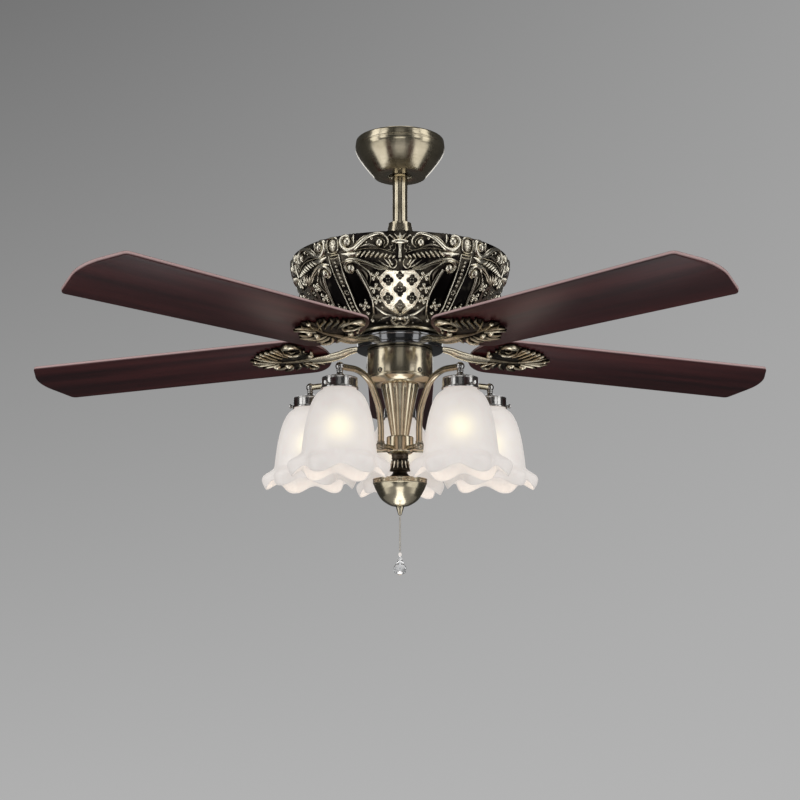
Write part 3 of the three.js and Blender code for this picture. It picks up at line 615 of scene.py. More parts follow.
def lattice(rows: int, steps: int, place: Callable[[int, float], Vector]) -> BMesh:
    """A closed skin whose rows run round the axis and whose last row joins the first.

    Args:
        rows: number of rows.
        steps: points in each row.
        place: the point at a row and a bearing in radians.

    Returns:
        A closed bmesh with its faces outwards.
    """
    bm = bmesh.new()
    marks = [bm.verts.new((i + 1, 0, 0)) for i in range(rows)]
    for pair in zip(marks, [*marks[1:], marks[0]]):
        bm.edges.new(pair)
    spin(bm, steps)
    for vertex in bm.verts:
        x, y, _ = vertex.co
        vertex.co = place(round(math.hypot(x, y)) - 1, math.atan2(y, x))
    return outward(bm)


def ball(at: Vector, radii: Triple, turn: Matrix | None = None, rings: int = 8) -> BMesh:
    """An ellipsoid bmesh with its middle at a point, turned by a matrix before it is moved."""
    bm = bmesh.new()
    bmesh.ops.create_uvsphere(bm, u_segments=2 * rings, v_segments=rings, radius=1.0)
    scaled = Matrix.Diagonal((*radii, 1))
    bmesh.ops.transform(
        bm, matrix=Matrix.Translation(at) @ (turn or Matrix()) @ scaled, verts=bm.verts[:]
    )
    return bm


def stand(name: str, data: bpy.types.ID) -> bpy.types.Object:
    """Puts an object with that data into the scene."""
    made = bpy.data.objects.new(name, data)
    bpy.context.scene.collection.objects.link(made)
    return made


def as_mesh(bm: BMesh, name: str) -> bpy.types.Mesh:
    """A mesh with the bmesh's shape, which is freed."""
    mesh = bpy.data.meshes.new(name)
    bm.to_mesh(mesh)
    bm.free()
    return mesh


def cut_out(bm: BMesh, cutter: BMesh) -> BMesh:
    """What is left of a bmesh when the cutter's space is taken away; both are freed."""
    base, tool = (stand("carrier", as_mesh(part, "carrier")) for part in (bm, cutter))
    taken = base.modifiers.new("taken", "BOOLEAN")
    taken.operation = "DIFFERENCE"
    taken.solver = "EXACT"
    taken.object = tool
    rest = bmesh.new()
    rest.from_object(base, bpy.context.evaluated_depsgraph_get())
    for item in (base, tool):
        mesh = item.data
        bpy.data.objects.remove(item)
        bpy.data.meshes.remove(mesh)
    return rest


def gather(bm: BMesh, other: BMesh, matrix: Matrix | None = None) -> None:
    """Adds a copy of the other bmesh, moved by the matrix, and frees the other one."""
    carrier = as_mesh(other, "carrier")
    if matrix is not None:
        carrier.transform(matrix)
        if matrix.determinant() < 0:
            carrier.flip_normals()
    bm.from_mesh(carrier)
    bpy.data.meshes.remove(carrier)


def repeated(bm: BMesh, count: int = STATIONS, start: float = 0.0) -> BMesh:
    """Copies of a bmesh about the axis, the first of them turned to start; it is freed."""
    ring = bmesh.new()
    for i in range(count):
        gather(ring, bm.copy(), Matrix.Rotation(start + TURN * i / count, 4, "Z"))
    bm.free()
    return ring


def blended(values: Sequence[float], share: float) -> float:
    """The value at a share of the way along a list, with straight lines between its entries."""
    place = share * (len(values) - 1)
    start = min(int(place), len(values) - 2) if len(values) > 1 else 0
    end = min(start + 1, len(values) - 1)
    return values[start] + (values[end] - values[start]) * (place - start)


@dataclass(frozen=True)
class Stroke:
    """A raised line of carving: its path on the ground, half widths along it and its height."""

    path: tuple[Spot, ...]
    widths: tuple[float, ...]
    height: float = 2.6
    steps: int = 3


@dataclass(frozen=True)
class Bud:
    """A raised oval: its middle on the ground, its half sizes and its turn in degrees."""

    at: Spot
    radii: Triple
    turn: float = 0.0


@dataclass
class Carving:
    """Raised work on a curved ground, gathered into one bmesh.

    Attributes:
        ground: the point at two ground coordinates and a height above the ground.
        bm: what has been carved so far.
    """

    ground: Ground
    bm: BMesh = field(default_factory=bmesh.new)

    def facing(self, u: float, v: float) -> Vector:
        """The direction straight up from the ground."""
        return (self.ground(u, v, 1.0) - self.ground(u, v, 0.0)).normalized()

    def stroke(self, line: Stroke) -> None:
        """Adds a raised line with rounded sides."""
        spots = flowing([Vector((u, v, 0)) for u, v in line.path], line.steps)
        widths = [blended(line.widths, k / (len(spots) - 1)) for k in range(len(spots))]
        full = max(line.widths)
        heights = [line.height * (0.35 + 0.65 * width / full) for width in widths]
        path = [self.ground(p.x, p.y, 0.0) for p in spots]
        gather(self.bm, swept(path, widths, heights, [self.facing(p.x, p.y) for p in spots]))

    def bud(self, shape: Bud) -> None:
        """Adds a raised oval."""
        u, v = shape.at
        up = self.facing(u, v)
        side = (self.ground(u + 0.2, v, 0.0) - self.ground(u - 0.2, v, 0.0)).normalized()
        along = up.cross(side)
        basis = Matrix((side, along, up)).transposed().to_4x4()
        turn = basis @ Matrix.Rotation(math.radians(shape.turn), 4, "Z")
        gather(self.bm, ball(self.ground(u, v, 0.0), shape.radii, turn, 6))

    def rosette(self, middle: Spot, reach: Spot, radii: Triple) -> None:
        """Adds six buds on an oval round a middle."""
        for k in range(6):
            turn = TURN * k / 6
            u, v = (m + r * f(turn) for m, r, f in zip(middle, reach, (math.cos, math.sin)))
            self.bud(Bud((u, v), radii))

    def add(self, *shapes: Stroke | Bud) -> None:
        """Adds each of the shapes."""
        for shape in shapes:
            if isinstance(shape, Stroke):
                self.stroke(shape)
            else:
                self.bud(shape)


def make_piece(
    bm: BMesh,
    name: str,
    body: Body,
    finish: Finish,
    stands_for: Sequence[str] = (),
    sharp: float = 32.0,
    attributes: dict[str, Callable[[Vector], float | Vector]] | None = None,
) -> None:
    """Turns a bmesh in millimetres into a dressed piece that rides on its body.

    Args:
        bm: the shape, which is freed.
        name: the piece's name.
        body: what it moves with.
        finish: what it is dressed in.
        stands_for: CAD nodes that it replaces.
        sharp: edges with a larger angle than this, in degrees, stay crisp.
        attributes: values to store at each point, worked out from its place in millimetres.
    """
    for title, value_at in (attributes or {}).items():
        vector = isinstance(value_at(Vector()), Vector)
        kinds = bm.verts.layers.float_vector if vector else bm.verts.layers.float
        layer = kinds.get(title) or kinds.new(title)
        for vertex in bm.verts:
            vertex[layer] = value_at(vertex.co)
    bmesh.ops.scale(bm, vec=(MM, MM, MM), verts=bm.verts[:])
    mesh = as_mesh(bm, name)
    mesh.shade_smooth()
    mesh.set_sharp_from_angle(angle=math.radians(sharp))
    mesh.materials.append(finish.material())
    piece = stand(name, mesh)
    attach(piece, body.value)
    if stands_for:
        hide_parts(*stands_for)
    LOG.info("%s: %d faces", name, len(mesh.polygons))


def make_ring(
    line: Profile,
    rounding: float,
    name: str,
    node: str | None = None,
    finish: Finish = BRASS,
    body: Body = Body.HANGING,
    steps: int = ROUND_STEPS,
) -> None:
    """Makes a piece that is turned about the axis and hollow in its middle.

    Args:
        line: radius and height along the whole section.
        rounding: size of the small radius on every corner.
        name: the piece's name.
        node: the CAD node that it replaces, if there is one.
        finish: what it is dressed in.
        body: what it moves with.
        steps: facets round the axis.
    """
    make_piece(turned(line, rounding, steps, True), name, body, finish, [node] if node else ())


def dress_node(name: str, finish: Finish) -> None:
    """Gives a CAD node that stays in view a finish."""
    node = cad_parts[name]
    node.data.materials.clear()
    node.data.materials.append(finish.material())
    LOG.info("%s: dressed in %s", name, finish.name)


# ---------------------------------------------------------------- studio


@dataclass
class Studio:
    """Camera, pale floor, grey surround and soft lights."""

    camera_at: Vector = field(default_factory=lambda: Vector((0.0, -2.0686, -0.803)))
    camera_tilt: float = 10.16  # degrees above level
    lens: float = 59.36
    floor_height: float = -2.4
    floor_grey: float = 0.42
    aim_height: float = -0.35
    darkest: float = 0.16
    room: float = 0.30
    reflected: float = 0.05
    # brightness behind the fan at the horizon and its change upwards, and the same of its slant
    level: Spot = (0.405, -0.352)
    slant: Spot = (0.085, 0.41)

    def build(self) -> None:
        """Sets up everything that isn't part of the fan."""
        bpy.context.scene.view_settings.view_transform = "Standard"
        self.place_camera()
        self.lay_floor()
        self.draw_world()
        self.hang_lights()

    def place_camera(self) -> None:
        """A level camera below the motor that looks a little upwards."""
        data = bpy.data.cameras.new("camera")
        data.lens = self.lens
        camera = stand("camera", data)
        camera.location = self.camera_at
        camera.rotation_euler = (math.radians(90 + self.camera_tilt), 0, 0)
        bpy.context.scene.camera = camera

    def lay_floor(self) -> None:
        """A wide plain floor far below the fan."""
        bm = bmesh.new()
        bmesh.ops.create_grid(bm, x_segments=1, y_segments=1, size=2.5)
        bmesh.ops.translate(bm, vec=(0, 0, self.floor_height), verts=bm.verts[:])
        mesh = as_mesh(bm, "floor")
        material = bpy.data.materials.new("floor")
        sheet = NodeSheet(material)
        sheet.finish(sheet.add("BsdfDiffuse", Color=(*[self.floor_grey] * 3, 1.0)))
        mesh.materials.append(material)
        stand("floor", mesh)

    def draw_world(self) -> None:
        """A grey gradient to the camera and through glass, dim room light, dark reflections."""
        world = bpy.data.worlds.new("world")
        bpy.context.scene.world = world
        sheet = NodeSheet(world, "World")
        split = sheet.add("SeparateXYZ", Vector=sheet.add("TexCoord").outputs["Generated"])
        across, up = split.outputs["X"], split.outputs["Z"]
        level, slant = (
            sheet.calculate("MULTIPLY_ADD", up, rise, start)
            for start, rise in (self.level, self.slant)
        )
        gradient = sheet.calculate("MULTIPLY_ADD", across, slant, level)
        shade = sheet.calculate("MAXIMUM", gradient, self.darkest)
        path = sheet.add("LightPath").outputs
        seen = sheet.calculate("MAXIMUM", path["Is Camera Ray"], path["Is Transmission Ray"])
        unseen = sheet.mix(path["Is Glossy Ray"], self.room, self.reflected, False)
        sheet.finish(sheet.add("Background", Color=sheet.mix(seen, unseen, shade, False)))

    def hang_lights(self) -> None:
        """Bright strips far out to the sides, dimmer panels nearer the front, low strips."""
        for side, name in ((-1, "left"), (1, "right")):
            self.softbox(f"strip_{name}", (side * 2.5, -1.05, 0.35), (1.0, 3.4), 17.0)
            self.softbox(f"panel_{name}", (side * 1.95, -2.1, 0.4), (0.8, 2.8), 10.0)
            self.softbox(f"low_{name}", (side * 1.6, -0.8, -1.45), (1.8, 1.0), 5.8, False)
        self.softbox("front", (0.0, -3.4, 0.2), (1.3, 0.9), 1.3)
        self.softbox("front_high", (0.0, -3.4, 1.6), (1.3, 0.8), 1.5)
        self.softbox("front_low", (0.0, -3.0, -1.5), (1.4, 0.5), 3.0)
        self.softbox("front_dim", (0.0, -1.7, -1.8), (1.0, 0.7), 0.7, False)
        self.softbox("floor_strip", (0.0, -0.1, -2.1), (0.85, 2.5), 14.0, False)
        self.softbox("top", (0.0, -0.6, 2.4), (2.0, 2.0), 20.0)
        self.softbox("back", (0.0, 2.8, 0.4), (2.0, 1.0), 8.0)

    def softbox(self, name: str, at: Triple, size: Spot, power: float, matte: bool = True) -> None:
        """One area light that faces the middle of the fan.

        Args:
            name: the light's name.
            at: its place in metres.
            size: its width and height in metres.
            power: its power in watts.
            matte: whether it lights matt surfaces too, and not only reflections.
        """
        data = bpy.data.lights.new(name, "AREA")
        data.shape = "RECTANGLE"
        data.size, data.size_y = size
        data.energy = power
        light = stand(name, data)
        light.location = at
        aim = Vector((0, 0, self.aim_height)) - Vector(at)
        light.rotation_euler = aim.to_track_quat("-Z", "Y").to_euler()
        light.visible_diffuse = matte


# ---------------------------------------------------------------- canopy and downrod


@dataclass
class Hanger:
    """Canopy, downrod and the cover of the yoke, with the bracket and ball inside."""

    sheet: float = 1.5
    floor_radius: float = 42.6
    hole_radius: float = 19.8
    groove: float = 0.8
    band_foot: float = 15.0
    curve_steps: int = 14
    rod_wall: float = 2.0
    # size and height of a black disc just over the canopy's hole, painted shade for the canopy's dark
    # inside
    rod_gap: float = 0.9
    shade_disc_radius: float = 25.0
    shade_disc_lift: float = 6.5
    hidden: tuple[tuple[Finish, tuple[str, ...]], ...] = (
        (STEEL, ("canopy_screw_left", "canopy_screw_right", "ball_cross_pin", "yoke_clevis_pin",
                 "motor_shaft", "stator", "bearing_upper", "bearing_lower")),
        (PAINT, ("hanger_bracket", "hanger_ball", "yoke", "rotor_shell", "switch_housing_plate",
                 "pull_switch")),
    )

    def build(self) -> None:
        """Makes the pieces from the ceiling down."""
        self.canopy()
        self.downrod()
        self.yoke_cover()
        for finish, nodes in self.hidden:
            for node in nodes:
                dress_node(node, finish)

    def canopy(self) -> None:
        """A spun bowl with a band, a groove under it and a flat floor."""
        place = Place.of("canopy")
        rim, top = place.radius, place.top
        line = below(
            top, (rim - 2.2, 0), (rim - 1.1, 0), (rim - 0.7, 2.0), (rim, 9.0), (rim, 11.2),
            (rim - self.groove, 11.8), (rim - self.groove, 13.4), (rim, 14.0),
            (rim - 0.3, self.band_foot),
        )
        drop = top - place.bottom - self.band_foot
        wide = rim - self.floor_radius
        for i in range(1, self.curve_steps + 1):
            turn = i / self.curve_steps * math.pi / 2
            fall = drop * (0.78 * (1 - math.cos(turn)) + 0.22 * math.sin(turn))
            line.append((
                self.floor_radius + wide * math.cos(turn) - 0.3, top - self.band_foot - fall
            ))
        inside = [(max(r - self.sheet, 0), z + self.sheet) for r, z in reversed(line[8:])]
        line += [(self.hole_radius, place.bottom), (self.hole_radius, place.bottom + self.sheet)]
        line += [*inside, (rim - 2.2, top - self.band_foot + self.sheet)]
        make_ring(line, 0.25, "canopy_bowl", "canopy", body=Body.CEILING)

    def downrod(self) -> None:
        """The tube between the ball and the yoke, and a black disc of painted shade over the canopy's
        hole.
        """
        place = Place.of("downrod")
        r, bore = place.radius, place.radius - self.rod_wall
        line = [(bore, place.top), (r, place.top), (r, place.bottom), (bore, place.bottom)]
        make_ring(line, 0.3, "downrod_tube", "downrod")
        # painted shade: a black disc over the canopy's hole hides the lit inside of the open canopy
        foot = Place.of("canopy").bottom + self.shade_disc_lift
        near, far = r + 0.2, self.shade_disc_radius
        shade_disc = [(near, foot), (far, foot), (far, foot + 2), (near, foot + 2)]
        make_ring(shade_disc, 0.3, "painted_shade_disc", finish=PAINT)

    def yoke_cover(self) -> None:
        """The flared cup that hides the yoke."""
        place = Place.of("yoke_cover")
        bore = Place.of("downrod").radius + self.rod_gap
        top, foot = place.top, place.radius
        outside = smoothed(
            (foot - 16.6, top), (foot - 15.9, top - 5), (foot - 12.7, top - 19),
            (foot - 9.8, top - 31), (foot - 6.2, top - 41), (foot - 2, place.bottom + 5),
            (foot, place.bottom),
        )
        inside = [(r - self.sheet, z) for r, z in reversed(outside[1:])]
        line = [*outside, *inside, (bore, top - self.sheet), (bore, top)]
        make_ring(line, 0.2, "yoke_cover_cup", "yoke_cover")


# ---------------------------------------------------------------- blades


@dataclass
class BladeSet:
    """Five long boards with a pointed tip, each pitched on its iron."""

    root: float = 122.0
    tip: float = 659.8
    root_width: float = 120.0
    tip_width: float = 126.0
    thickness: float = 6.0
    depth: float = 351.4
    pitch: float = 12.95
    droop: float = 1.96
    root_round: float = 50.0
    corner: float = 7.0
    low_drop: float = 25.0
    high_drop: float = 21.0
    edge: float = 0.9
    # the band on the board's edge that gets a painted highlight
    painted_highlight_band: Spot = (2.9, 5.7)  # heights between which the board's edge is paler
    grain_shift: Spot = (1.7, 0.9)  # from one board to the next, so that no two look alike

    def slope(self, hand: int) -> Matrix:
        """Matrix that brings a board drawn along X at height 0 to its place.

        Args:
            hand: 1 or -1, for the side that is raised.
        """
        return (
            Matrix.Translation((self.root, 0, -self.depth))
            @ Matrix.Rotation(math.radians(self.droop), 4, "Y")
            @ Matrix.Rotation(math.radians(hand * self.pitch), 4, "X")
            @ Matrix.Translation((-self.root, 0, 0))
            @ Matrix.Diagonal((1, hand, 1, 1))
        )

    def outline(self) -> list[Vector]:
        """The board's edge seen from above, with its raised side at +Y."""
        start, root, tip, corner = self.root, self.root_width / 2, self.tip_width / 2, self.corner
        low_end, high_end = self.tip - self.low_drop, self.tip - self.high_drop
        bend, straight = start + 0.45 * self.root_round, start + self.root_round

        def curve(steps: int, *points: Spot) -> list[Vector]:
            """Points on a curve with three or four control points."""
            ends = [Vector((x, y, 0)) for x, y in points]
            if len(ends) == 3:
                first, middle, last = ends
                ends = [first, first.lerp(middle, 2 / 3), last.lerp(middle, 2 / 3), last]
            return interpolate_bezier(*ends, steps)

        return [
            *curve(18, (start, 0), (start, -0.55 * root), (bend, -root), (straight, -root)),
            *curve(7, (low_end - corner, 0.1 - tip), (low_end, -tip), (low_end + 3, corner - tip)),
            *curve(12, (self.tip - 5.5, -0.28 * tip), (self.tip + 3.6, 0.1 * tip),
                   (self.tip - 5.5, 0.48 * tip)),
            *curve(7, (high_end + 2.6, tip - corner), (high_end, tip),
                   (high_end - corner, tip - 0.1)),
            *curve(18, (straight, root), (bend, root), (start, 0.55 * root), (start, 0))[:-1],
        ]

    def board(self) -> BMesh:
        """A flat board with softened edges."""
        bm = bmesh.new()
        bm.faces.new([bm.verts.new(p) for p in self.outline()])
        middle = self.thickness / 2
        faces = bm.faces[:]
        for _ in range(2):
            grown = bmesh.ops.extrude_face_region(bm, geom=faces)["geom"]
            faces = only(bmesh.types.BMFace, grown)
            bmesh.ops.translate(bm, vec=(0, 0, middle), verts=only(bmesh.types.BMVert, grown))
        outward(bm)
        rims = [
            e for e in bm.edges
            if abs(e.verts[0].co.z - e.verts[1].co.z) < 0.01
            and abs(e.verts[0].co.z - middle) > 0.01
        ]
        bevel(bm, rims, self.edge, "EDGES", 2, False)
        return bm

    def build(self) -> None:
        """Makes the five boards; each carries its own length and width as its grain, and a band on its
        edge for its painted highlight.
        """
        low, high = self.painted_highlight_band
        for i, turn in stations():
            hand = hand_of(i)
            place = turn @ self.slope(hand)
            back = place.inverted()
            bm = self.board()
            bmesh.ops.transform(bm, matrix=place, verts=bm.verts[:])
            if hand < 0:
                bmesh.ops.reverse_faces(bm, faces=bm.faces[:])
            shift = Vector((*self.grain_shift, 0)) * i
            make_piece(
                bm, f"blade_board_{i}", Body.ROTOR, WOOD, [f"blade_{i}"],
                attributes={
                    "grain": lambda co, b=back, s=shift: (b @ co) * MM + s,
                    # the edge band that is coloured as a painted highlight
                    "rim": lambda co, b=back: float(low < (b @ co).z < high),
                },
            )


# ---------------------------------------------------------------- motor housing


def petals(middle: Spot, *tips: Spot) -> list[Stroke | Bud]:
    """Small stalks that spread from one place, each with a fat bud near its end."""
    shapes: list[Stroke | Bud] = []
    for tip in tips:
        near = tuple(a + 0.8 * (b - a) for a, b in zip(middle, tip))
        shapes += [Stroke((middle, tip), (1.2, 2.6, 1.6), 3.2, 4), Bud(near, (3.3, 3.6, 4.4))]
    return shapes


# Half of one panel of the bowl, as degrees from the panel's middle and depth below the ceiling.
HALF_PANEL: tuple[Stroke | Bud, ...] = (
    # the great S scroll under the crest
    Stroke(
        ((-25.6, 214.5), (-26.8, 210), (-28.6, 208.8), (-30.2, 211), (-30.9, 216.5),
         (-30.2, 223.5),
         (-28.2, 228.8), (-26, 230.4), (-23.5, 229), (-21.3, 224.5), (-18.5, 218.5),
         (-16, 213.8), (-13, 210.8), (-10, 210), (-7.5, 213.5), (-6, 220.5), (-6.3, 227),
         (-8, 231)),
        (1.4, 2.8, 3.6, 4.0, 4.2, 4.2, 3.8, 3.2, 2.6, 2.1, 1.6, 1.0), 4.6, 2,
    ),
    Bud((-27.2, 218.4), (6.8, 7.2, 7.4)),
    Stroke(((-23.9, 226), (-21.4, 219.3), (-18.4, 213.4), (-15, 209.6)), (0.5, 1.3, 1.3, 0.5), 2.6),
    Stroke(((-23.4, 208.6), (-23.9, 214), (-23.4, 221.5)), (1.0, 2.6, 1.0), 3.6),
    Bud((-10.4, 223.6), (5.6, 6.2, 5.4)),
    Stroke(((-8.4, 229.5), (-7.6, 222.6), (-9.2, 217.4), (-11.6, 216.6)), (0.6, 1.2, 0.6), 2.4),
    Bud((-14.2, 217.2), (2.7, 2.9, 3.0)),
    Bud((-16.8, 221.6), (1.8, 2.0, 2.4)),
    Stroke(((-21, 228.4), (-17, 225.6), (-13.4, 227.6), (-10, 232)), (0.7, 2.2, 1.6, 0.5), 2.2),
    # the lily in the middle, with its lace
    Stroke(((-0.2, 220.5), (-1.5, 215.5), (-3, 211)), (1.0, 2.0, 0.6), 3.4),
    Stroke(((-1.6, 221), (-3.5, 217), (-5, 213.2), (-5.9, 216)), (0.9, 1.7, 1.3, 0.7), 3.0),
    Stroke(
        ((-4.2, 225), (-3.5, 228.6), (-5, 230), (-4.5, 233.4), (-6.2, 235)), (0.7, 1.0, 0.8), 2.0
    ),
    Stroke(((-2.4, 227), (-2.2, 232.5), (-3.4, 236), (-2.4, 239)), (0.7, 1.1, 0.7), 2.2),
    # the band of slanting gadroons
    Stroke(((-31.2, 234.4), (-27, 236.6), (-23.2, 237), (-20.2, 235.2)), (1.4, 4.4, 4.0, 0.8), 3.8),
    Stroke(
        ((-30.5, 230.6), (-26.5, 232.8), (-22, 231.8), (-17.5, 230.8), (-12, 231.6), (-7, 235),
         (-3.5, 239)),
        (0.8, 0.9, 0.7), 2.0,
    ),
    *(
        Stroke(((low, deep), (high, shallow)), (1.2, 2.3, 1.4), 3.8, 5)
        for low, deep, high, shallow in (
            (-23, 241, -20, 233.8), (-20.5, 242, -17.6, 234.4), (-18, 242.8, -15.2, 235),
            (-15.5, 243.6, -12.9, 236.2), (-13, 244.4, -10.6, 237.4), (-10.6, 245, -8.4, 238.8),
            (-8.2, 245.4, -6.4, 240), (-6, 245.8, -4.2, 241.4), (-3.9, 246.4, -2.4, 242.6),
        )
    ),
    # mouldings that fall from the strap to the shield
    Stroke(
        ((-32, 246), (-29.6, 243.8), (-27, 243), (-23.5, 244), (-19, 248), (-14, 254),
         (-9.5, 259), (-4.4, 262)),
        (1.6, 2.4, 2.6, 2.2, 1.8, 1.4, 1.0), 3.6,
    ),
    Stroke(((-25, 248), (-20, 250.8), (-15, 255.4), (-9, 261)), (0.6, 1.1, 0.6), 2.2),
    # the scroll on top of the pilaster, and the pilaster
    Stroke(
        ((-27, 262), (-29.6, 259.6), (-30.7, 253), (-29.4, 247.4), (-26.5, 245.4),
         (-23.6, 247.6), (-21.8, 252.4)),
        (1.2, 2.4, 3.0, 3.0, 2.6, 1.6), 4.2, 2,
    ),
    Bud((-27.2, 255.4), (6.6, 7.4, 7.4)),
    Stroke(
        ((-24.4, 258), (-23, 266.5), (-21.5, 278.5), (-20, 292), (-19.6, 304), (-22, 314),
         (-27.4, 319.6)),
        (3.0, 2.7, 2.2, 1.9, 1.8, 1.6, 1.1), 3.4,
    ),
    Stroke(((-22.4, 262), (-20.6, 272), (-19.4, 284), (-18.3, 297)), (0.5, 0.9, 0.5), 2.0),
    Stroke(
        ((-22, 251.5), (-19.5, 257.4), (-17, 264), (-17.3, 272), (-18.8, 279)),
        (1.0, 1.5, 1.2, 0.6), 2.8,
    ),
    Stroke(((-21.2, 258), (-19.4, 265.6), (-19.6, 273)), (1.2, 2.6, 0.8), 1.6),
    # buds and balls of the field
    *petals((-14.6, 268.3), (-17, 264.6), (-12.2, 264.4), (-15.8, 272.6), (-11.9, 271.4)),
    Bud((-14.6, 268.3), (1.7, 1.8, 3.2)),
    *petals((-15.9, 283.6), (-19, 282.4), (-14.2, 278.2), (-12.6, 285), (-17.4, 289)),
    Bud((-15.9, 283.6), (1.8, 1.9, 3.2)),
    *petals((-15.9, 298.6), (-18.4, 296), (-14.6, 293.4), (-13.2, 300.4), (-17.2, 303)),
    *petals((-26.2, 304.6), (-29.6, 303.2), (-24, 300.6), (-22.9, 306.8), (-28, 309)),
    Bud((-26.2, 304.6), (1.8, 1.9, 3.0)),
    Bud((-26.6, 313.2), (3.4, 3.8, 4.4)),
    Bud((-27.4, 320.8), (3.4, 3.8, 4.4)),
    Bud((-24.4, 297.4), (1.5, 1.8, 2.4)),
    Bud((-13.2, 308.4), (1.9, 2.0, 2.6)),
    Bud((-14, 324), (1.8, 1.8, 2.4)),
    # hooks and flames above the shield
    Stroke(
        ((-2.6, 246.6), (-1.8, 250.6), (-1.8, 255.4), (-3.4, 259), (-5.1, 257.6), (-5.7, 253.6),
         (-4.3, 251)),
        (0.9, 1.3, 1.7, 1.7, 1.3, 0.9), 3.2,
    ),
    Bud((-4.2, 254), (2.2, 2.6, 3.6)),
    *(
        Stroke(path, (1.0, 1.8, 1.5, 0.4), 3.0)
        for path in (
            ((-5.6, 258), (-8.6, 254), (-11.4, 247.6)), ((-5.2, 255), (-7, 250), (-8.8, 245.2)),
            ((-4.7, 252.6), (-5.5, 249), (-6.2, 246.4)), ((-6.6, 259.6), (-10, 256.4), (-13.6, 250.8)),
            ((-8, 260.8), (-12, 259.4), (-16.4, 254.6)),
        )
    ),
    # foot scrolls and wings
    Stroke(
        ((-5.2, 322.2), (-4, 321), (-4.4, 319.2), (-6.2, 318.8), (-8, 321), (-7.2, 324),
         (-3.6, 325), (-0.4, 323.6)),
        (1.6, 2.4, 2.8, 2.8, 2.4, 1.4), 4.0,
    ),
    Stroke(((-19, 306.6), (-16, 311.5), (-12, 315.4), (-6.4, 316.8)), (0.9, 2.0, 2.4, 1.0), 3.2),
    Stroke(((-24, 323), (-19.5, 321), (-14.5, 319), (-6.4, 318)), (0.6, 1.4, 1.5, 0.8), 2.4),
)

# The middle of one panel, in the same terms.
PANEL_MIDDLE: tuple[Stroke | Bud, ...] = (
    Bud((0, 222.8), (14.0, 4.0, 5.0)),
    Stroke(((0, 221), (0, 215), (0, 209.6)), (1.8, 2.9, 0.9), 4.0),
    Stroke(((0, 226), (0, 235), (0, 245)), (3.2, 2.4, 3.2), 4.2),
    Bud((0, 249), (2.4, 3.0, 3.2)),
    Bud((0, 320.6), (5.6, 5.0, 3.0)),
)


@dataclass
class Shield:
    """The pierced shield in the middle of a panel, in the panel's own ground coordinates."""

    thickness: float = 1.9
    edge: tuple[Spot, ...] = (
        (0, 262.6), (-4.5, 262.4), (-7.6, 261.4), (-9.8, 265.6), (-11.8, 270), (-12.2, 274),
        (-11.4, 279), (-10, 283.6), (-11.8, 286.6), (-13.2, 290), (-13.2, 294.4), (-12.2, 301),
        (-10.4, 307), (-8.2, 310.8), (-5.4, 313.6), (-2.6, 316), (0, 317.2),
    )
    # middle in degrees and depth, and half width in millimetres, of the pierced flowers
    flowers: tuple[Triple, ...] = (
        (0, 268.4, 7.2), (-7.0, 274, 10.0), (7.0, 274, 10.0), (0, 286, 12.6),
        (-8.0, 297, 10.6), (8.0, 297, 10.6), (0, 307.0, 10.4),
    )
    rounding: float = 0.7
    flower_steps: int = 24

    def flower(self, middle: Spot, half: float) -> list[Spot]:
        """The four-lobed edge of one pierced flower."""
        angle, depth = middle
        wide = math.degrees(1 / (185 - 0.3 * (depth - 240)))
        edge = []
        for k in range(self.flower_steps):
            turn = TURN * k / self.flower_steps
            reach = half * (0.64 + 0.36 * abs(math.cos(2 * turn)) ** 0.7)
            edge.append((
                angle + reach * wide * math.cos(turn), depth + 0.74 * reach * math.sin(turn)
            ))
        return edge

    def plate(self, ground: Ground) -> BMesh:
        """The plate on its ground."""
        outer = [*self.edge, *((-a, d) for a, d in reversed(self.edge[1:-1]))]
        bm = bmesh.new()
        rims = []
        for loop in (outer, *(self.flower((a, d), half) for a, d, half in self.flowers)):
            corners = [bm.verts.new((a, d, 0)) for a, d in loop]
            rims += [bm.edges.new(pair) for pair in zip(corners, [*corners[1:], corners[0]])]
        bmesh.ops.triangle_fill(bm, edges=rims, use_beauty=True)
        cuts = [((a, 0, 0), (1, 0, 0)) for a in range(-12, 13, 3)]
        cuts += [((0, d, 0), (0, 1, 0)) for d in range(266, 316, 8)]
        for point, normal in cuts:
            everything = bm.verts[:] + bm.edges[:] + bm.faces[:]
            bmesh.ops.bisect_plane(bm, geom=everything, plane_co=point, plane_no=normal)
        grown = bmesh.ops.extrude_face_region(bm, geom=bm.faces[:])["geom"]
        raised = set(only(bmesh.types.BMVert, grown))
        bmesh.ops.translate(bm, vec=(0, 0, self.thickness), verts=list(raised))
        rims = [
            e for e in bm.edges
            if raised.issuperset(e.verts) and len(e.link_faces) == 2
            and any(not raised.issuperset(f.verts) for f in e.link_faces)
        ]
        for vertex in bm.verts:
            vertex.co = ground(*vertex.co)
        outward(bm)
        bevel(bm, rims, self.rounding, "EDGES", 2, True)
        return bm


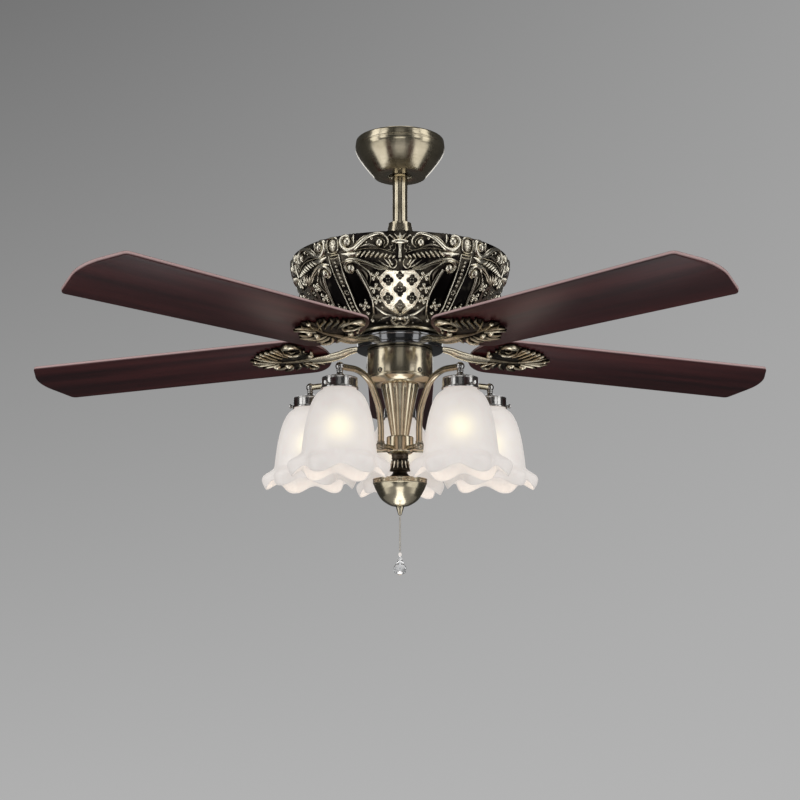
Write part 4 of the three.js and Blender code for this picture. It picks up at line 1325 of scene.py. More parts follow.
@dataclass
class MotorHousing:
    """The cast bowl round the motor, with its vented lid."""

    rim: float = 174.6
    height: float = 122.7
    wall: float = 4.5
    ring: float = 60.9
    neck: float = 50.0
    crest_rise: float = 0.6
    crest_wave: float = 0.4
    crest_waves: int = 10
    crest_lobes: int = 36
    recess: float = 2.4
    steps: int = 360
    strap_at: float = -PANEL / 2
    medallion: float = 219.4
    bead_round: float = 5.2
    # depth under the ground where the relief is 0, and the rise from there to where it is 1
    relief_floor: float = 0.35
    relief_span: float = 3.1
    # the hollows beside the straps: degrees from a panel's middle, and depths below the ceiling
    hollow_inner: float = 25.0
    hollow_taper: float = 5.5
    hollow_outer: float = 32.8
    hollow_top: float = 256.0
    hollow_foot: float = 316.0
    # the lid's vents: shares of its radius where they start and end, and their width
    vent_start: float = 0.52
    vent_end: float = 0.88
    vent_width: float = 6.0
    # inset from the rim's radius and depth below it, from the rim down to the bottom ring
    falls: tuple[Spot, ...] = (
        (0.0, 0.0), (0.5, 6.0), (1.4, 14.0), (5.2, 30.0), (10.7, 42.2), (17.6, 53.0), (25.2, 63.6),
        (37.6, 78.3), (46.0, 88.8), (53.9, 98.5), (62.5, 104.4), (73.3, 109.2), (90.9, 116.7),
        (109.7, 119.5),
    )

    def __post_init__(self) -> None:
        """Reads the bowl's heights from the CAD and smooths its outer line."""
        self.bottom = Place.of("motor_housing").bottom
        self.top = self.bottom + self.height
        self.line = smoothed(*((self.rim - inset, self.top - fall) for inset, fall in self.falls))
        self.depths = [-z for _, z in self.line]

    def ground(self, bearing: float, depth: float, lift: float = 0.0) -> Vector:
        """A point on or above the bowl's outer surface.

        Args:
            bearing: degrees about the axis, from the middle of the front panel.
            depth: how far below the ceiling the surface is at that place.
            lift: distance outwards from the surface.
        """
        radius, out = self.radius_at(depth)
        turn = math.radians(bearing - 90)
        wide = radius + lift * out.x
        return Vector((wide * math.cos(turn), wide * math.sin(turn), -depth + lift * out.y))

    def radius_at(self, depth: float) -> tuple[float, Vector]:
        """Radius of the outer surface at a depth, and its outward normal as (radius, height)."""
        row = min(max(bisect(self.depths, depth), 1), len(self.line) - 1)
        (r0, z0), (r1, z1) = self.line[row - 1], self.line[row]
        share = clamped((z0 + depth) / (z0 - z1))
        return r0 + (r1 - r0) * share, Vector((z0 - z1, r1 - r0)).normalized()

    def relief(self, point: Vector) -> float:
        """How high a point stands: 0 in the hollows, 1 on the crests."""
        radius, out = self.radius_at(-point.z)
        lift = (math.hypot(point.x, point.y) - radius) * out.x
        return clamped((lift + self.relief_floor) / self.relief_span)

    def sink(self, bearing: float, depth: float) -> float:
        """Depth of the hollow between a strap and its pilaster, with soft sides.

        Args:
            bearing: degrees from the middle of the nearest panel.
            depth: millimetres below the ceiling.
        """
        inner = self.hollow_inner - self.hollow_taper * clamped((depth - 258.0) / 35.0)
        across = min(abs(bearing) - inner, self.hollow_outer - abs(bearing)) / 0.9
        down = min(depth - self.hollow_top, self.hollow_foot - depth) / 3.0
        return self.recess * clamped(min(across, down))

    def wave_at(self, bearing: float) -> float:
        """Rise of the wavy crest at so many degrees from the middle of a panel."""
        across = PANEL / 2 - abs(bearing)
        return self.crest_wave * math.cos(math.radians(self.crest_waves * across))

    def bowl(self) -> BMesh:
        """The bowl itself, hollow, with a wavy crest and a moulded bottom ring."""
        seat = self.rim - 10.7
        ledge = self.top - 2.0
        lip = self.top + self.crest_rise
        crest = [
            (seat, ledge, 0.0), (seat, self.top - 0.6, 0.6), (self.rim - 8.6, self.top + 0.1, 1.0),
            (self.rim - 6.2, lip - 0.3, 1.0), (self.rim - 3.5, lip, 1.0),
            (self.rim - 1.4, lip - 1.6, 1.0),
        ]
        foot = self.ring
        rows = [*crest, *((r, z, 0.0) for r, z in self.line)]
        outer = len(rows)
        rows += [
            (foot + 2.6, self.bottom + 3.1, 0.0), (foot + 2.9, self.bottom + 2.0, 0.0),
            (foot + 2.2, self.bottom + 0.8, 0.0), (foot, self.bottom, 0.0),
            (self.neck, self.bottom, 0.0), (self.neck, self.bottom + 7.0, 0.0),
        ]
        inner = [(r - self.wall, z + self.wall / 3, 0.0) for r, z in self.line[::-4]]
        rows += [row for row in inner if self.neck + 8 < row[0] < seat - 8.5]
        rows += [(seat - 5.9, ledge - 3.0, 0.0), (seat - 5.9, ledge, 0.0)]

        def place(row: int, turn: float) -> Vector:
            """The point of a row at a bearing: the crest waves, and the line sinks in hollows."""
            r, z, wave = rows[row]
            bearing = (math.degrees(turn) + 90 + PANEL / 2) % PANEL - PANEL / 2
            z += wave * self.wave_at(bearing)
            if len(crest) <= row < outer:
                r -= self.sink(bearing, -z)
            return Vector((r * math.cos(turn), r * math.sin(turn), z))

        return lattice(len(rows), self.steps, place)

    def lid(self) -> BMesh:
        """The domed lid with its radial vents."""
        place = Place.of("housing_lid")
        top, bottom, rim = place.top, place.bottom, place.radius
        bore, centre, ledge, sheet = 8.3, 40.5, rim - 5.6, 3.0
        line = [
            (bore, top), (centre, top), (ledge - 3, bottom + 3.2), (rim, bottom + 2.5),
            (rim, bottom), (ledge, bottom), (centre, top - sheet), (bore, top - sheet),
        ]
        low, high = ledge * self.vent_start, ledge * self.vent_end
        slot, vent = bmesh.new(), bmesh.new()
        bmesh.ops.create_cube(slot, size=1.0)
        middle = Matrix.Translation(((low + high) / 2, 0, top - 8))
        gather(vent, slot, middle @ Matrix.Diagonal((high - low, self.vent_width, 40, 1)))
        vents = repeated(vent, STATIONS, TURN / 2 / STATIONS)
        return cut_out(turned(line, 0.6, closed=True), vents)

    def panels(self) -> BMesh:
        """The carving of the five panels, each of two halves that mirror each other."""
        half = Carving(self.ground)
        half.add(*HALF_PANEL)
        middle = Carving(self.ground)
        middle.add(*PANEL_MIDDLE)
        shield = Shield()
        gather(middle.bm, shield.plate(self.ground))
        for angle, depth, size in shield.flowers:
            for turn in (45, 135, 225, 315):
                across = 0.3 * size * math.cos(math.radians(turn)) / 2.9
                down = 0.24 * size * math.sin(math.radians(turn))
                middle.bud(Bud((angle + across, depth + down), (0.19 * size, 1.1, 2.2), turn))
        panel = bmesh.new()
        other = half.bm.copy()
        gather(panel, half.bm)
        gather(panel, other, Matrix.Diagonal((-1, 1, 1, 1)))
        gather(panel, middle.bm)
        return repeated(panel)

    def straps(self) -> BMesh:
        """The beaded straps between the panels, each under its medallion."""
        strap = Carving(self.ground)
        middle, heart = self.strap_at, self.medallion
        rail = (
            (3.3, 234), (3.3, 243), (3.15, 261), (3.05, 278), (3.0, 296), (3.0, 311), (2.8, 322),
        )
        for side in (-1, 1):
            strap.stroke(Stroke(tuple((middle + side * a, d) for a, d in rail), (1.15, 1.0), 3.0))
        for depth in (244.4, 249.6, 254.7, 259.8, 264.9, 270, 275.6, 293.6, 298.8, 303.8, 308.4):
            strap.bud(Bud((middle, depth), (2.7, 2.6, 3.8)))
        for depth in (313, 317, 320.4):
            strap.bud(Bud((middle, depth), (2.1, 2.1, 3.2)))
        strap.rosette((middle, 285.0), (1.35, 2.6), (1.5, 1.5, 2.4))
        for depth, width in ((233.4, 1.3), (238.2, 1.7)):
            bar = ((middle - 3.2, depth), (middle, depth + 0.6), (middle + 3.2, depth))
            strap.stroke(Stroke(bar, (width,), 3.0))
        # the medallion: a squarish ring round a dish with a small rosette
        wide, tall = 3.5, 11.4
        ring = []
        for k in range(17):
            c, s = math.cos(TURN * k / 16), math.sin(TURN * k / 16)
            square = (abs(c) ** 3 + abs(s) ** 3) ** (-1 / 3)
            ring.append((middle + wide * square * c, heart + tall * square * s))
        strap.add(Stroke(tuple(ring), (1.5,), 3.8), Bud((middle, heart), (8.6, 10.0, 2.2)))
        strap.rosette((middle, heart), (1.5, 4.6), (1.9, 2.2, 3.4))
        strap.bud(Bud((middle, heart), (1.8, 1.8, 4.0)))
        return repeated(strap.bm)

    def crest(self) -> BMesh:
        """The small lobes along the bowl's upper edge."""
        lobes = bmesh.new()
        reach = self.rim - 2.6
        for k in range(self.crest_lobes):
            turn = k * PANEL / self.crest_lobes
            bearing = math.radians(turn - 90)
            tall = 1.8 + 0.6 * math.cos(TURN * 3 * k / self.crest_lobes)
            height = self.top + self.crest_rise - 1.2 + self.wave_at(min(turn, PANEL - turn))
            at = Vector((reach * math.cos(bearing), reach * math.sin(bearing), height))
            gather(lobes, ball(at, (2.0, 3.4, tall), Matrix.Rotation(bearing, 4, "Z"), 5))
        return repeated(lobes)

    def bead(self) -> list[Spot]:
        """Section of the fat bead under the bowl."""
        low, size = self.bottom - 1.2, self.bead_round
        inner, middle = self.ring - 2, self.ring + 6.8 - size
        arc = [
            (middle + size * math.sin(turn / 6), low + size - size * math.cos(turn / 6))
            for turn in range(1, 11)
        ]
        return [(inner, low), (middle, low), *arc, (inner, low + 7)]

    def build(self) -> None:
        """Makes the bowl, its carving and the lid."""
        carved = {"relief": self.relief}
        for name, bm, nodes, sharp in (
            ("housing_panels", self.panels(), (), 60.0),
            ("housing_straps", self.straps(), (), 60.0),
            ("housing_crest", self.crest(), (), 60.0),
            ("motor_housing_bowl", self.bowl(), ["motor_housing"], 50.0),
        ):
            make_piece(bm, name, Body.HANGING, CAST, nodes, sharp, carved)
        make_ring(self.bead(), 0.4, "housing_ring")
        make_piece(
            self.lid(), "housing_lid_plate", Body.HANGING, CAST, ["housing_lid"],
            attributes={"relief": lambda co: 0.4},
        )


# ---------------------------------------------------------------- hub and irons


# The carving of one iron, in millimetres from the fan's axis and across the blade.
LEAF_CARVING: tuple[Stroke | Bud, ...] = (
    # the rib, opened into thin fingers towards the tip
    Stroke(((146, 1), (164, -1), (184, -2), (205, 1), (222, 6), (238, 9)),
           (6.0, 4.4, 3.2, 2.6, 2.2, 1.3), 3.6),
    *(
        Stroke(path, (1.0, 1.7, 1.6, 0.6), 4.4)
        for path in (
            ((208, 2), (226, 6), (242, 12), (253, 19)), ((203, 4), (219, 13), (233, 21), (243, 28)),
            ((216, 1), (232, 1), (244, 1), (254, 6)), ((210, -3), (224, -6), (236, -9), (245, -16)),
        )
    ),
    Bud((246, 14), (4.4, 3.2, 5.0), 24),
    # slanting waves along the raised side
    *(
        Stroke(((s - 17, t - 26), (s - 10, t - 16), (s - 5, t - 6), (s - 2, t), (s + 3, t + 1.5)),
               (0.8, 1.5, 1.9, 2.1, 0.9), 5.2)
        for s, t in ((233, 33), (224, 38.5), (214, 42.5), (203, 45))
    ),
    Stroke(((190, 26), (191, 36), (193, 46), (198, 51)), (1.0, 1.8, 2.2, 1.0), 4.4),
    # the volute: a fat roll on top, a thin ring below, dark inside
    Stroke(((186, 42), (182, 49.5), (173, 53), (163, 51.5), (157, 45)),
           (1.4, 4.4, 6.6, 4.6, 1.2), 6.4),
    Stroke(((186, 42), (187, 33), (181, 25), (172, 22), (163, 25), (158, 33), (156, 43)),
           (1.2, 1.7, 2.1, 2.4, 2.1, 1.6, 1.0), 4.4),
    Stroke(((179, 37), (174, 31.5), (167, 34)), (0.7, 1.6, 0.7), 3.0),
    Bud((152, 34), (2.0, 2.4, 3.8)),
    # the eye between the volute and the strap
    Bud((148, 15), (6.2, 4.8, 5.6), 10),
    Bud((143, 24), (2.8, 3.4, 3.8), 30),
    # two bright buds and dark leaves along the lowered side
    Bud((217.5, -9.5), (7.6, 4.4, 7.6), -14),
    Bud((196.5, -11.5), (7.6, 4.4, 7.6), -10),
    *(
        Stroke(path, (1.4, 3.4, 3.0, 0.9), 3.6)
        for path in (
            ((228, 2), (240, -2), (250, -9)), ((203, -16), (212, -22), (224, -24)),
            ((190, -16), (198, -27), (212, -33)), ((177, -8), (180, -22), (192, -33)),
            ((170, -8), (166, -20), (174, -32)),
        )
    ),
    Stroke(((166, -8), (156, -14), (150, -24), (156, -32), (165, -30), (164, -22)),
           (1.6, 3.2, 3.6, 3.2, 2.4, 1.2), 4.6),
    Stroke(((150, -7), (142, -13), (138, -22)), (2.6, 3.4, 1.0), 3.6),
)


@dataclass
class Irons:
    """The black hub drum and the cast irons that carry the blades."""

    blades: BladeSet
    plate: float = 4.0
    bore: float = 20.0
    drum_neck: float = 44.0
    drum_height: float = 19.2
    # place along the arm, rise above its seat, half height and half width
    bends: tuple[tuple[float, float, float, float], ...] = (
        (58.0, 2.6, 2.6, 8.0), (72.0, 2.2, 3.2, 7.4), (86.0, 0.2, 3.7, 7.8),
        (98.0, -4.0, 3.9, 8.6), (110.0, -7.0, 3.7, 9.2), (122.0, -9.2, 3.3, 9.8),
        (137.0, -10.6, 2.8, 9.6), (152.0, -11.4, 2.2, 8.0),
    )
    # place along and across the blade, length, width and turn of the leaf's lobes
    lobes: tuple[tuple[float, float, float, float, float], ...] = (
        (76, 4, 112, 24, 4), (100, 17, 40, 15, 40), (84, 24, 42, 15, 58), (50, 46, 40, 15, 6),
        (62, 28, 22, 22, 0), (40, 28, 16, 20, 0), (49, 16, 44, 16, 0), (88, -10, 42, 15, -14),
        (66, -20, 40, 20, -30), (40, -20, 40, 20, -24),
    )

    def hub(self) -> None:
        """A drum with two flanges, whose waist the irons enter."""
        place = Place.of("blade_hub")
        outer, floor, neck = place.radius, place.bottom, self.drum_neck
        shelf = floor + self.drum_height
        line = [
            (self.bore, place.top), (neck, place.top), (neck, shelf), (outer - 0.3, shelf),
            (outer, shelf - 1.2), (outer, shelf - 3.4), (outer - 1.1, shelf - 4.4),
            (outer - 1.1, floor + 5.4), (outer, floor + 4.4), (outer, floor), (self.bore, floor),
        ]
        make_ring(line, 0.35, "blade_hub_drum", "blade_hub", HUB_BLACK, Body.ROTOR)

    def strap(self, hand: int) -> BMesh:
        """The flat arm from the hub to under the blade, in its station's own frame.

        Args:
            hand: 1 or -1, for the side of the blade that is raised.
        """
        seat = Place.of("blade_hub").bottom + 6.5
        path = flowing([Vector((x, 0, seat + z)) for x, z, _, _ in self.bends], 3)
        sizes = flowing([Vector((w, h, 0)) for _, _, h, w in self.bends], 3)
        pitch = math.radians(hand * self.blades.pitch)
        up = []
        for point in path:
            lean = pitch * clamped((point.x - 60) / 50)
            up.append(Vector((0, -math.sin(lean), math.cos(lean))))
        bar = swept(path, [s.x for s in sizes], [s.y for s in sizes], up, 16, 0.55)
        # a raised bead along both edges of its underside
        count = len(path)
        for side in (-1, 1):
            rim = []
            for point, size, high in zip(path, sizes, up):
                across = Vector((0, high.z, -high.y))
                rim.append(point + across * side * (size.x - 1.5) - high * (size.y - 0.3))
            gather(bar, swept(rim, [1.3] * count, [1.1] * count, [-high for high in up], 8))
        return bar

    def leaf(self) -> BMesh:
        """The flat plate under the blade, drawn along X with the blade's underside at height 0."""
        bm = bmesh.new()
        for s, t, length, width, turn in self.lobes:
            at = Vector((self.blades.root + s, t, -0.3 - self.plate / 2))
            turned_by = Matrix.Rotation(math.radians(turn), 4, "Z")
            gather(bm, ball(at, (length / 2, width / 2, 2.0), turned_by, 10))
        return bm

    def build(self) -> None:
        """Makes the hub and the five irons."""
        self.hub()
        for i, turn in stations():
            hand = hand_of(i)
            slope = turn @ self.blades.slope(hand)
            level = slope.inverted()
            bm = bmesh.new()
            gather(bm, self.strap(hand), turn)
            gather(bm, self.leaf(), slope)
            carving = Carving(lambda s, t, lift: Vector((s, t, -self.plate - lift)))
            carving.add(*LEAF_CARVING)
            gather(bm, carving.bm, slope)

            def relief(point: Vector, back: Matrix = level) -> float:
                """How high a point stands above the leaf's plate; the strap counts as high."""
                place = back @ point
                if place.x < self.blades.root + 22:
                    return 0.8
                return clamped((-place.z - self.plate - 0.6) / 4.4)

            make_piece(
                bm, f"iron_{i}", Body.ROTOR, LEAF, [f"blade_iron_{i}"], 60.0, {"relief": relief}
            )


# ---------------------------------------------------------------- column


@dataclass
class Column:
    """Everything turned about the axis below the hub, down to the chain's spout."""

    sheet: float = 1.5
    bore: float = 4.5
    floor_bore: float = 4.3
    flutes: int = 12
    flute_depth: float = 0.06
    vase_foot: float = 14.1
    vase_rows: int = 24
    screws: int = 5
    lip: float = 2.0
    collar: float = 21.6
    stub_rise: float = 8.9
    leaves: int = 14
    pads: int = 20
    screw_parts: tuple[tuple[str, Finish, Profile], ...] = (
        ("washers", PAINT, ((0, 0), (4.1, 0), (4.0, 0.4), (3.4, 0.5), (0, 0.5))),
        ("screws", BRASS, ((0, 0.4), (2.5, 0.4), (2.2, 1.2), (1.4, 1.7), (0.7, 1.8), (0.6, 1),
                           (0, 1))),
    )

    def switch_housing(self) -> None:
        """The upright cup that hides the switch wiring, with a row of screws near its foot."""
        place = Place.of("switch_housing")
        r, foot = place.radius, place.bottom
        top = place.top + self.lip
        line = [
            (r - self.sheet, top), (r - 0.4, top), (r, top - 1.2), (r, foot), (r - self.sheet, foot)
        ]
        make_ring(line, 0.25, "switch_housing_cup", "switch_housing")
        for name, finish, profile in self.screw_parts:
            head = bmesh.new()
            seat = Matrix.Translation((r - 0.2, 0, foot + 4.4)) @ ONTO_X
            gather(head, turned(profile, 0.0, 24), seat)
            heads = repeated(head, self.screws, TURN / 2 / self.screws - TURN / 4)
            make_piece(heads, f"switch_housing_{name}", Body.HANGING, finish)

    def pan(self) -> None:
        """The rounded plate that closes the switch housing from below."""
        place = Place.of("fitter_plate")
        wide, floor = place.radius, place.bottom
        top = Place.of("switch_housing").bottom - 0.3
        flange = wide - self.sheet - 0.3
        curve = smoothed(
            (wide, top - 1.6), (wide - 0.6, top - 4.2), (wide - 4.4, top - 8.6),
            (wide - 9.4, floor + 1.1), (wide - 14.4, floor),
        )
        inside = [(r - self.sheet, z + self.sheet) for r, z in reversed(curve)]
        line = [
            (flange - self.sheet, top + 10), (flange, top + 10), (flange, top), (wide - 0.4, top),
            *curve, (self.bore, floor), (self.bore, floor + self.sheet), *inside,
        ]
        make_ring(line, 0.2, "fitter_pan", "fitter_plate")

    def vase(self) -> None:
        """The fluted cone, whose ridges run out into a plain lip at the top."""
        place = Place.of("vase")
        top, length = place.top, place.top - place.bottom
        rows = []
        for i in range(self.vase_rows + 1):
            share = i / self.vase_rows
            radius = place.radius + (self.vase_foot - place.radius) * share
            depth = self.flute_depth * min(share / 0.06, 1.0) ** 0.5
            rows.append((radius - 0.6 * math.sin(math.pi * share), top - share * length, depth))
        rows += [(self.bore, place.bottom, 0.0), (self.bore, top, 0.0)]

        def at(row: int, turn: float) -> Vector:
            """The point of a row at a bearing, drawn in where a flute runs."""
            r, z, depth = rows[row]
            valley = 1 - abs(math.cos(self.flutes * turn / 2))
            r *= 1 - depth * valley**2
            return Vector((r * math.cos(turn), r * math.sin(turn), z))

        bm = lattice(len(rows), 20 * self.flutes, at)
        make_piece(bm, "vase_fluted", Body.HANGING, BRASS, ["vase"], 40.0)

    def arm_hub(self) -> None:
        """The collar with a short stub for each arm."""
        place = Place.of("arm_hub")
        r, top, floor = self.collar, place.top, place.bottom
        line = [
            (self.bore, top), (r - 2.2, top), (r - 0.5, top - 0.5), (r, top - 2), (r, floor + 6.4),
            (r - 0.9, floor + 4), (r - 3.2, floor + 1.6), (13.7, floor), (self.bore, floor),
        ]
        bm = turned(line, 0.5, closed=True)
        for _, turn in stations():
            stub = turned([(0, 0), (4, 0), (4, 30), (0, 30)], 0.3, 24)
            gather(bm, stub, turn @ Matrix.Translation((r - 5, 0, floor + self.stub_rise)) @ ONTO_X)
        make_piece(bm, "arm_hub_collar", Body.HANGING, BRASS, ["arm_hub"])

    def neck(self) -> None:
        """The dark turned ornament with a ring of leaves and two pointed flares."""
        place = Place.of("finial_neck")
        top, flare, floor = place.top, place.radius, place.bottom
        line = below(
            top, (self.bore, 0), (13.2, 0), (13.4, 1.6), (12.8, 2.6), (12.8, 4.0), (13.4, 5.0),
            (13.4, 6.4), (12.3, 7.4), (12.0, 8.4), (12.6, 12.0), (13.4, 17.0), (15.2, 21.4),
            (flare, 24.2), (flare, 25.2), (12.4, 26.4), (10.9, 27.4), (11.6, 29.2), (14.2, 32.2),
            (flare, 35.4),
        )
        line += [(flare, floor + 1.6), (11.7, floor), (self.bore, floor)]
        bm = turned(line, 0.35, closed=True)
        path = flowing(upright(below(top, (12.6, 8.6), (13.4, 12), (14.2, 17), (16.6, 22.6))), 3)
        swells = [math.sin(math.pi * i / (len(path) - 1)) for i in range(len(path))]
        widths = [0.5 + 1.5 * max(swell, 0.0) ** 0.8 for swell in swells]
        heights = [0.4 + 0.9 * swell for swell in swells]
        rib = swept(path, widths, heights, [Vector((1, 0, 0))] * len(path))
        gather(bm, repeated(rib, self.leaves))

        def relief(point: Vector) -> float:
            """How high a point stands above the ground of the leaves."""
            depth = top - point.z
            ground = 12.6 + max(depth - 12.0, 0.0) * 0.24
            lift = math.hypot(point.x, point.y) - ground
            return clamped(lift / 2.2) if 8.0 < depth < 23.5 else 0.3

        make_piece(
            bm, "finial_neck_turned", Body.HANGING, ORNAMENT, ["finial_neck"],
            attributes={"relief": relief},
        )

    def bowl(self) -> None:
        """The finial bowl with a banded rim, and its flat lid."""
        lid = Place.of("bowl_lid")
        bore, wide = self.bore, lid.radius
        flat = [(bore, lid.top), (wide, lid.top), (wide, lid.bottom), (bore, lid.bottom)]
        make_ring(flat, 0.2, "bowl_lid_plate", "bowl_lid")
        place = Place.of("finial_bowl")
        rim, top, floor = place.radius, place.top, place.bottom
        curve = smoothed(
            (rim - 1.4, top - 8.0), (rim - 2.6, top - 12.0), (rim - 5.6, top - 18.5),
            (rim - 14.2, top - 32.4), (rim - 27, top - 41.0), (7.4, floor),
        )
        inside = [(r - self.sheet, z + self.sheet) for r, z in reversed(curve[:-3])]
        line = below(
            top, (rim - self.sheet, 0), (rim, 0), (rim, 1.6), (rim - 0.9, 2.2), (rim - 0.9, 6.2),
            (rim - 0.1, 6.8), (rim - 0.2, 7.5),
        )
        bore = self.floor_bore
        line += [*curve, (bore, floor), (bore, floor + self.sheet), *inside]
        make_ring(line, 0.2, "finial_bowl_spun", "finial_bowl")
        pad = ball(Vector((rim - 0.95, 0, top - 4.2)), (0.8, 4.3, 1.7), None, 6)
        make_piece(repeated(pad, self.pads), "finial_bowl_band", Body.HANGING, BRASS)

    def spout(self) -> None:
        """The tapered spout that the chain comes out of."""
        place = Place.of("chain_spout")
        top, end, middle = place.top, place.bottom, (place.top + place.bottom) / 2
        r, tip, bore = 6.3, 2.9, 2.3
        line = [
            (self.floor_bore, top), (r, top), (r - 0.6, top - 3), ((r + tip) / 2 - 0.4, middle - 1),
            (tip, end + 0.6), (tip - 0.3, end), (bore, end), (bore, top - 4.5),
            (self.floor_bore, top - 3.7),
        ]
        make_ring(line, 0.15, "chain_spout_cone", "chain_spout", steps=48)

    def build(self) -> None:
        """Makes the column from the switch housing down."""
        self.switch_housing()
        self.pan()
        self.vase()
        self.arm_hub()
        self.neck()
        self.bowl()
        self.spout()


# ---------------------------------------------------------------- lamps


@dataclass
class LightKit:
    """Five curved arms, each with a cup, a bulb and a ruffled glass shade."""

    arm: float = 4.9
    arm_reach: float = 50.6
    arm_rise: float = 108.5
    nut: float = 8.0
    knob: float = 6.8
    cup: float = 28.4
    cup_drop: float = 18.6
    cup_wall: float = 16.4
    bulb_radius: float = 26.0
    glass: float = 1.5
    petals: int = 6
    petal_turn: float = 13.0
    bell: float = 56.0
    bell_height: float = 95.0
    frill_height: float = 47.0
    # height and reach of the painted glow in the glass shades
    glow_height: float = 81.0
    glow_reach: float = 22.0
    shade_steps: int = 144
    # the glass's edge below the flare, along the middle of a petal and between two of them
    crest: Profile = (
        (58.6, -4.6), (63.2, -8.0), (69.6, -11.4), (74.8, -15.4), (76.9, -20.4),
        (76.0, -25.8), (73.6, -31.2), (70.6, -36.6),
    )
    valley: Profile = (
        (57.0, -5.6), (57.6, -8.6), (58.2, -11.4), (58.9, -14.2), (59.7, -17.0),
        (60.6, -19.6), (61.6, -22.0), (62.8, -24.0),
    )

    def tube(self, i: int, knob: float) -> BMesh:
        """The bent tube of one arm, in its station's frame.

        Args:
            i: the station's number.
            knob: height of the knob's middle.
        """
        lamp = Place.of(f"lamp_holder_{i}").middle
        span = math.hypot(lamp.x, lamp.y) - self.arm_reach
        foot = knob - self.arm_rise
        knots = [
            (0, foot + 5), (0.005, foot + 35), (0.06, knob - 47.5), (0.19, knob - 24),
            (0.28, knob - 12), (0.43, knob - 2.8), (0.62, knob + 1.6), (0.8, knob + 1),
            (1 - 3 / span, knob),
        ]
        path = flowing(upright([(self.arm_reach + s * span, z) for s, z in knots]), 5)
        size = [self.arm] * len(path)
        return swept(path, size, size, [Vector((0, 1, 0))] * len(path), 20)

    def foot_nut(self, foot: float) -> BMesh:
        """The domed nut that joins an arm to its stub."""
        profile = below(
            foot, (0, -7), (5.4, -7), (6.0, -6.2), (5.6, -4.6), (6.0, -3.6), (7.4, -1.6),
            (self.nut, 1.2), (7.7, 2.4), (6.9, 2.9), (7.4, 3.6), (7.1, 5.0), (4.2, 6.2), (0, 6.5),
        )
        return turned(profile, 0.25, 40)

    def holder(self, place: Place) -> BMesh:
        """Knob, brim and cup of one lamp, about its own axis."""
        knob = place.top - self.knob
        shoulder = knob - self.cup_drop
        bottom = shoulder - self.cup_wall
        cup, inside = self.cup, self.cup - 1.3
        arc = [
            (self.knob * math.cos(math.radians(a)), knob + self.knob * math.sin(math.radians(a)))
            for a in range(72, -50, -12)
        ]
        stem = below(
            knob, (4.6, 6.4), (5.4, 7.2), (4.6, 8.2), (4.4, 9.6), (5.4, 11.4), (8.6, 13.2),
            (13.4, 14.9), (cup - 5.0, 16.9),
        )
        line = [
            (0, place.top), *arc, *stem, (cup - 1.4, shoulder + 0.3), (cup - 1.4, shoulder - 0.9),
            (cup - 2.2, shoulder - 1.7), (cup - 1.6, bottom + 3.2), (cup - 0.4, bottom + 2.6),
            (cup, bottom + 1.6), (cup - 0.2, bottom), (inside, bottom), (inside, shoulder - 3),
            (16.5, shoulder - 2), (16.5, place.bottom), (13.5, place.bottom),
            (13.5, shoulder - 4), (0, shoulder - 4),
        ]
        return turned(line, 0.22, 72)

    def thumbscrew(self, bottom: float) -> BMesh:
        """A knurled screw that holds the glass, at the outer side of the cup."""
        profile = [
            (0, 0), (1.5, 0), (1.5, 5.2), (2.2, 5.4), (3.4, 6.0), (3.6, 7.0), (3.4, 8.2),
            (2.4, 8.8), (0, 8.9),
        ]
        bm = turned(profile, 0.15, 20)
        place = Matrix.Translation((self.cup - 1.5, 0, bottom + 5.6)) @ ONTO_X
        bmesh.ops.transform(bm, matrix=place, verts=bm.verts[:])
        return bm

    def bulb(self, place: Place) -> BMesh:
        """A round lamp bulb with a tapering neck."""
        wide, top, low = self.bulb_radius, place.top, place.bottom
        profile = smoothed(
            (13.2, top), (13.2, top - 24), (16.5, low + 58), (wide - 3, low + 40),
            (wide, low + 25), (wide - 7, low + 7), (wide - 17, low + 0.8), (0, low),
        )
        return turned([(0, top), *profile], 0.0, 48)

    def shade(self, place: Place, hand: int) -> BMesh:
        """The ruffled glass bell about its own axis.

        Args:
            place: where its CAD node lies.
            hand: 1 or -1, for the side that its petals are turned to.
        """
        flare = place.bottom + self.frill_height
        cup = flare + self.bell_height
        body = [(25.4, place.top), *below(
            cup, (25.4, 0.6), (32.2, 6), (38.5, 14), (44.0, 26.5), (48.4, 42), (51.6, 58),
            (53.8, 74), (self.bell - 0.6, 88),
        ), (self.bell + 0.4, flare - 2)]

        def line(wave: float) -> list[Vector]:
            """The outer line of the glass: wave is 1 along a petal and 0 between two of them."""
            frill = [
                (r0 + (r1 - r0) * wave, flare + z0 + (z1 - z0) * wave)
                for (r1, z1), (r0, z0) in zip(self.crest, self.valley)
            ]
            return flowing(upright([*body, *frill]), 2)

        fine = len(line(0.0))
        cache: dict[float, list[Vector]] = {}

        def at(row: int, turn: float) -> Vector:
            """The point of a row at a bearing, outside or inside of the glass."""
            local = turn - math.radians(hand * self.petal_turn)
            x = (local * self.petals / TURN + 0.5) % 1.0 * 2 - 1  # -1 to 1 across a petal
            wave = round(1 - (0.5 - 0.5 * math.cos(math.pi * x)) ** 1.15, 5)
            if wave not in cache:
                outer = line(wave)
                inner = []
                for k, point in enumerate(outer):
                    along = outer[min(k + 1, fine - 1)] - outer[max(k - 1, 0)]
                    inner.append(point + Vector((along.z, 0, -along.x)).normalized() * self.glass)
                lip = (outer[-1] + inner[-1]) / 2 + (outer[-1] - outer[-2]).normalized() * 0.9
                cache[wave] = [*outer, lip, *reversed(inner)]
            point = cache[wave][row]
            return Vector((point.x * math.cos(turn), point.x * math.sin(turn), point.z))

        return lattice(2 * fine + 1, self.shade_steps, at)

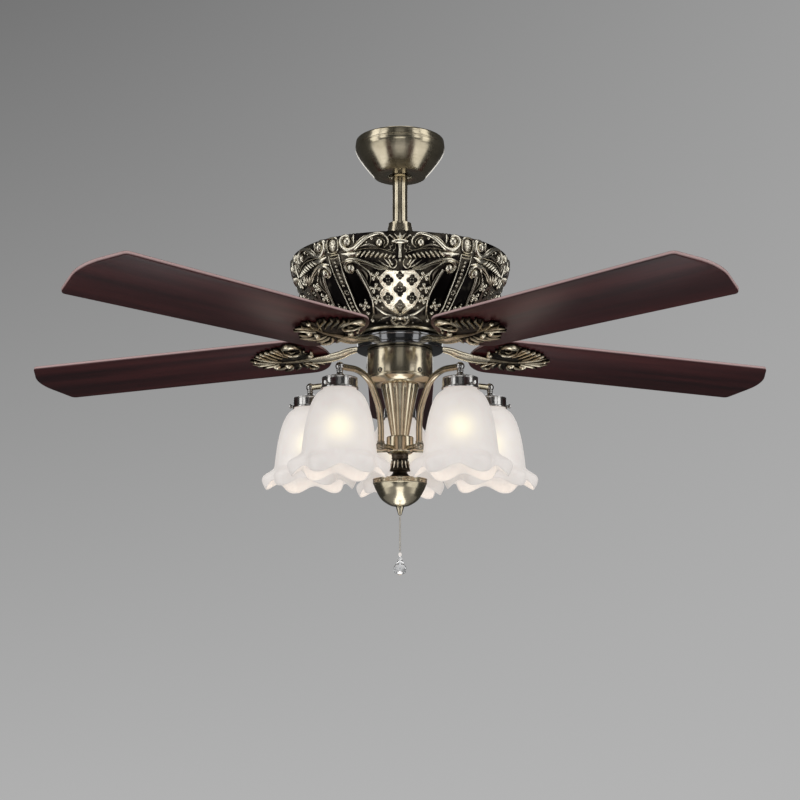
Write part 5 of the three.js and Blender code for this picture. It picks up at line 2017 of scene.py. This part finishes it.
    def build(self) -> None:
        """Makes the five lamps and their arms."""
        for i, turn in stations():
            holder, shade = Place.of(f"lamp_holder_{i}"), Place.of(f"shade_{i}")
            knob, glow = holder.top - self.knob, shade.bottom + self.glow_height
            on_lamp = Matrix.Translation((*holder.middle.xy, 0)) @ turn
            on_foot = turn @ Matrix.Translation((self.arm_reach, 0, 0))
            screw = self.thumbscrew(knob - self.cup_drop - self.cup_wall)
            cup = self.holder(holder)
            gather(cup, screw)
            for bm, matrix, name, finish, nodes, sharp, attributes in (
                (self.tube(i, knob), turn, "arm", BRASS, [f"light_arm_{i}"], 32.0, {}),
                (self.foot_nut(knob - self.arm_rise), on_foot, "arm_nut", ORNAMENT, (), 32.0,
                 {"relief": lambda co: 0.62}),
                (cup, on_lamp, "holder", NICKEL, [f"lamp_holder_{i}"], 32.0, {}),
                (self.bulb(Place.of(f"bulb_{i}")), on_lamp, "lamp_bulb", BULB, [f"bulb_{i}"], 32.0,
                 {}),
                (self.shade(shade, hand_of(i)), on_lamp, "shade_glass", GLASS, [f"shade_{i}"],
                 180.0, {"glow": lambda co: math.exp(-(((co.z - glow) / self.glow_reach) ** 2))}),
            ):
                placed = bmesh.new()
                gather(placed, bm, matrix)
                make_piece(placed, f"{name}_{i}", Body.HANGING, finish, nodes, sharp, attributes)


# ---------------------------------------------------------------- pull chain


@dataclass
class PullChain:
    """The beaded chain and its cut crystal."""

    bead: float = 1.6
    pitch: float = 4.0
    core: float = 0.6
    cap: float = 5.8
    facets: int = 10

    def build(self) -> None:
        """Makes the chain, the white bead and the drop."""
        chain = Place.of("pull_chain")
        top, bottom, core = chain.top, chain.bottom, self.core
        bm = turned([(0, top), (core, top), (core, bottom), (0, bottom)], 0.0, 8)
        height = Place.of("chain_spout").bottom + self.pitch / 2
        while height > bottom + self.bead:
            gather(bm, ball(Vector((0, 0, height)), (self.bead,) * 3, None, 7))
            height -= self.pitch
        make_piece(bm, "bead_chain", Body.CHAIN, CHAIN_METAL, ["pull_chain"], 60.0)
        place = Place.of("crystal")
        top, wide = place.top, place.radius
        ends = ((0, 0), (1.5, 0), (2.5, 1.4), (2.5, 4.2), (1.5, self.cap), (0, self.cap))
        cap = turned(below(top, *ends), 0.4, 24)
        # the white bead takes the shades' glass finish: no glow spot, but the even painted glow
        make_piece(cap, "crystal_cap", Body.CHAIN, GLASS, attributes={"glow": lambda co: 0.0})
        profile = [
            *below(top, (0.0, self.cap), (1.2, 6.2), (3.0, 9.4), (5.6, 15.0)),
            *below(place.bottom, (9.2, -13.0), (wide, -8.4), (wide - 2.6, -3.4),
                   (wide - 6.4, -0.9), (0.0, 0)),
        ]
        drop = turned(profile, 0.0, self.facets)
        for vertex in drop.verts:
            row = min(range(len(profile)), key=lambda k: abs(profile[k][1] - vertex.co.z))
            if row % 2:
                vertex.co = Matrix.Rotation(TURN / self.facets / 2, 3, "Z") @ vertex.co
        bmesh.ops.triangulate(drop, faces=drop.faces[:])
        make_piece(drop, "crystal_drop", Body.CHAIN, CRYSTAL, ["crystal"], 3.0)


# ---------------------------------------------------------------- assembly


def main() -> None:
    """Builds the fan's visual pieces and the studio."""
    logging.basicConfig(level=logging.INFO, format="%(name)s %(message)s")
    blades = BladeSet()
    for part in (
        Studio(), Hanger(), MotorHousing(), blades, Irons(blades), Column(), LightKit(), PullChain()
    ):
        part.build()


if __name__ == "__main__":
    main()
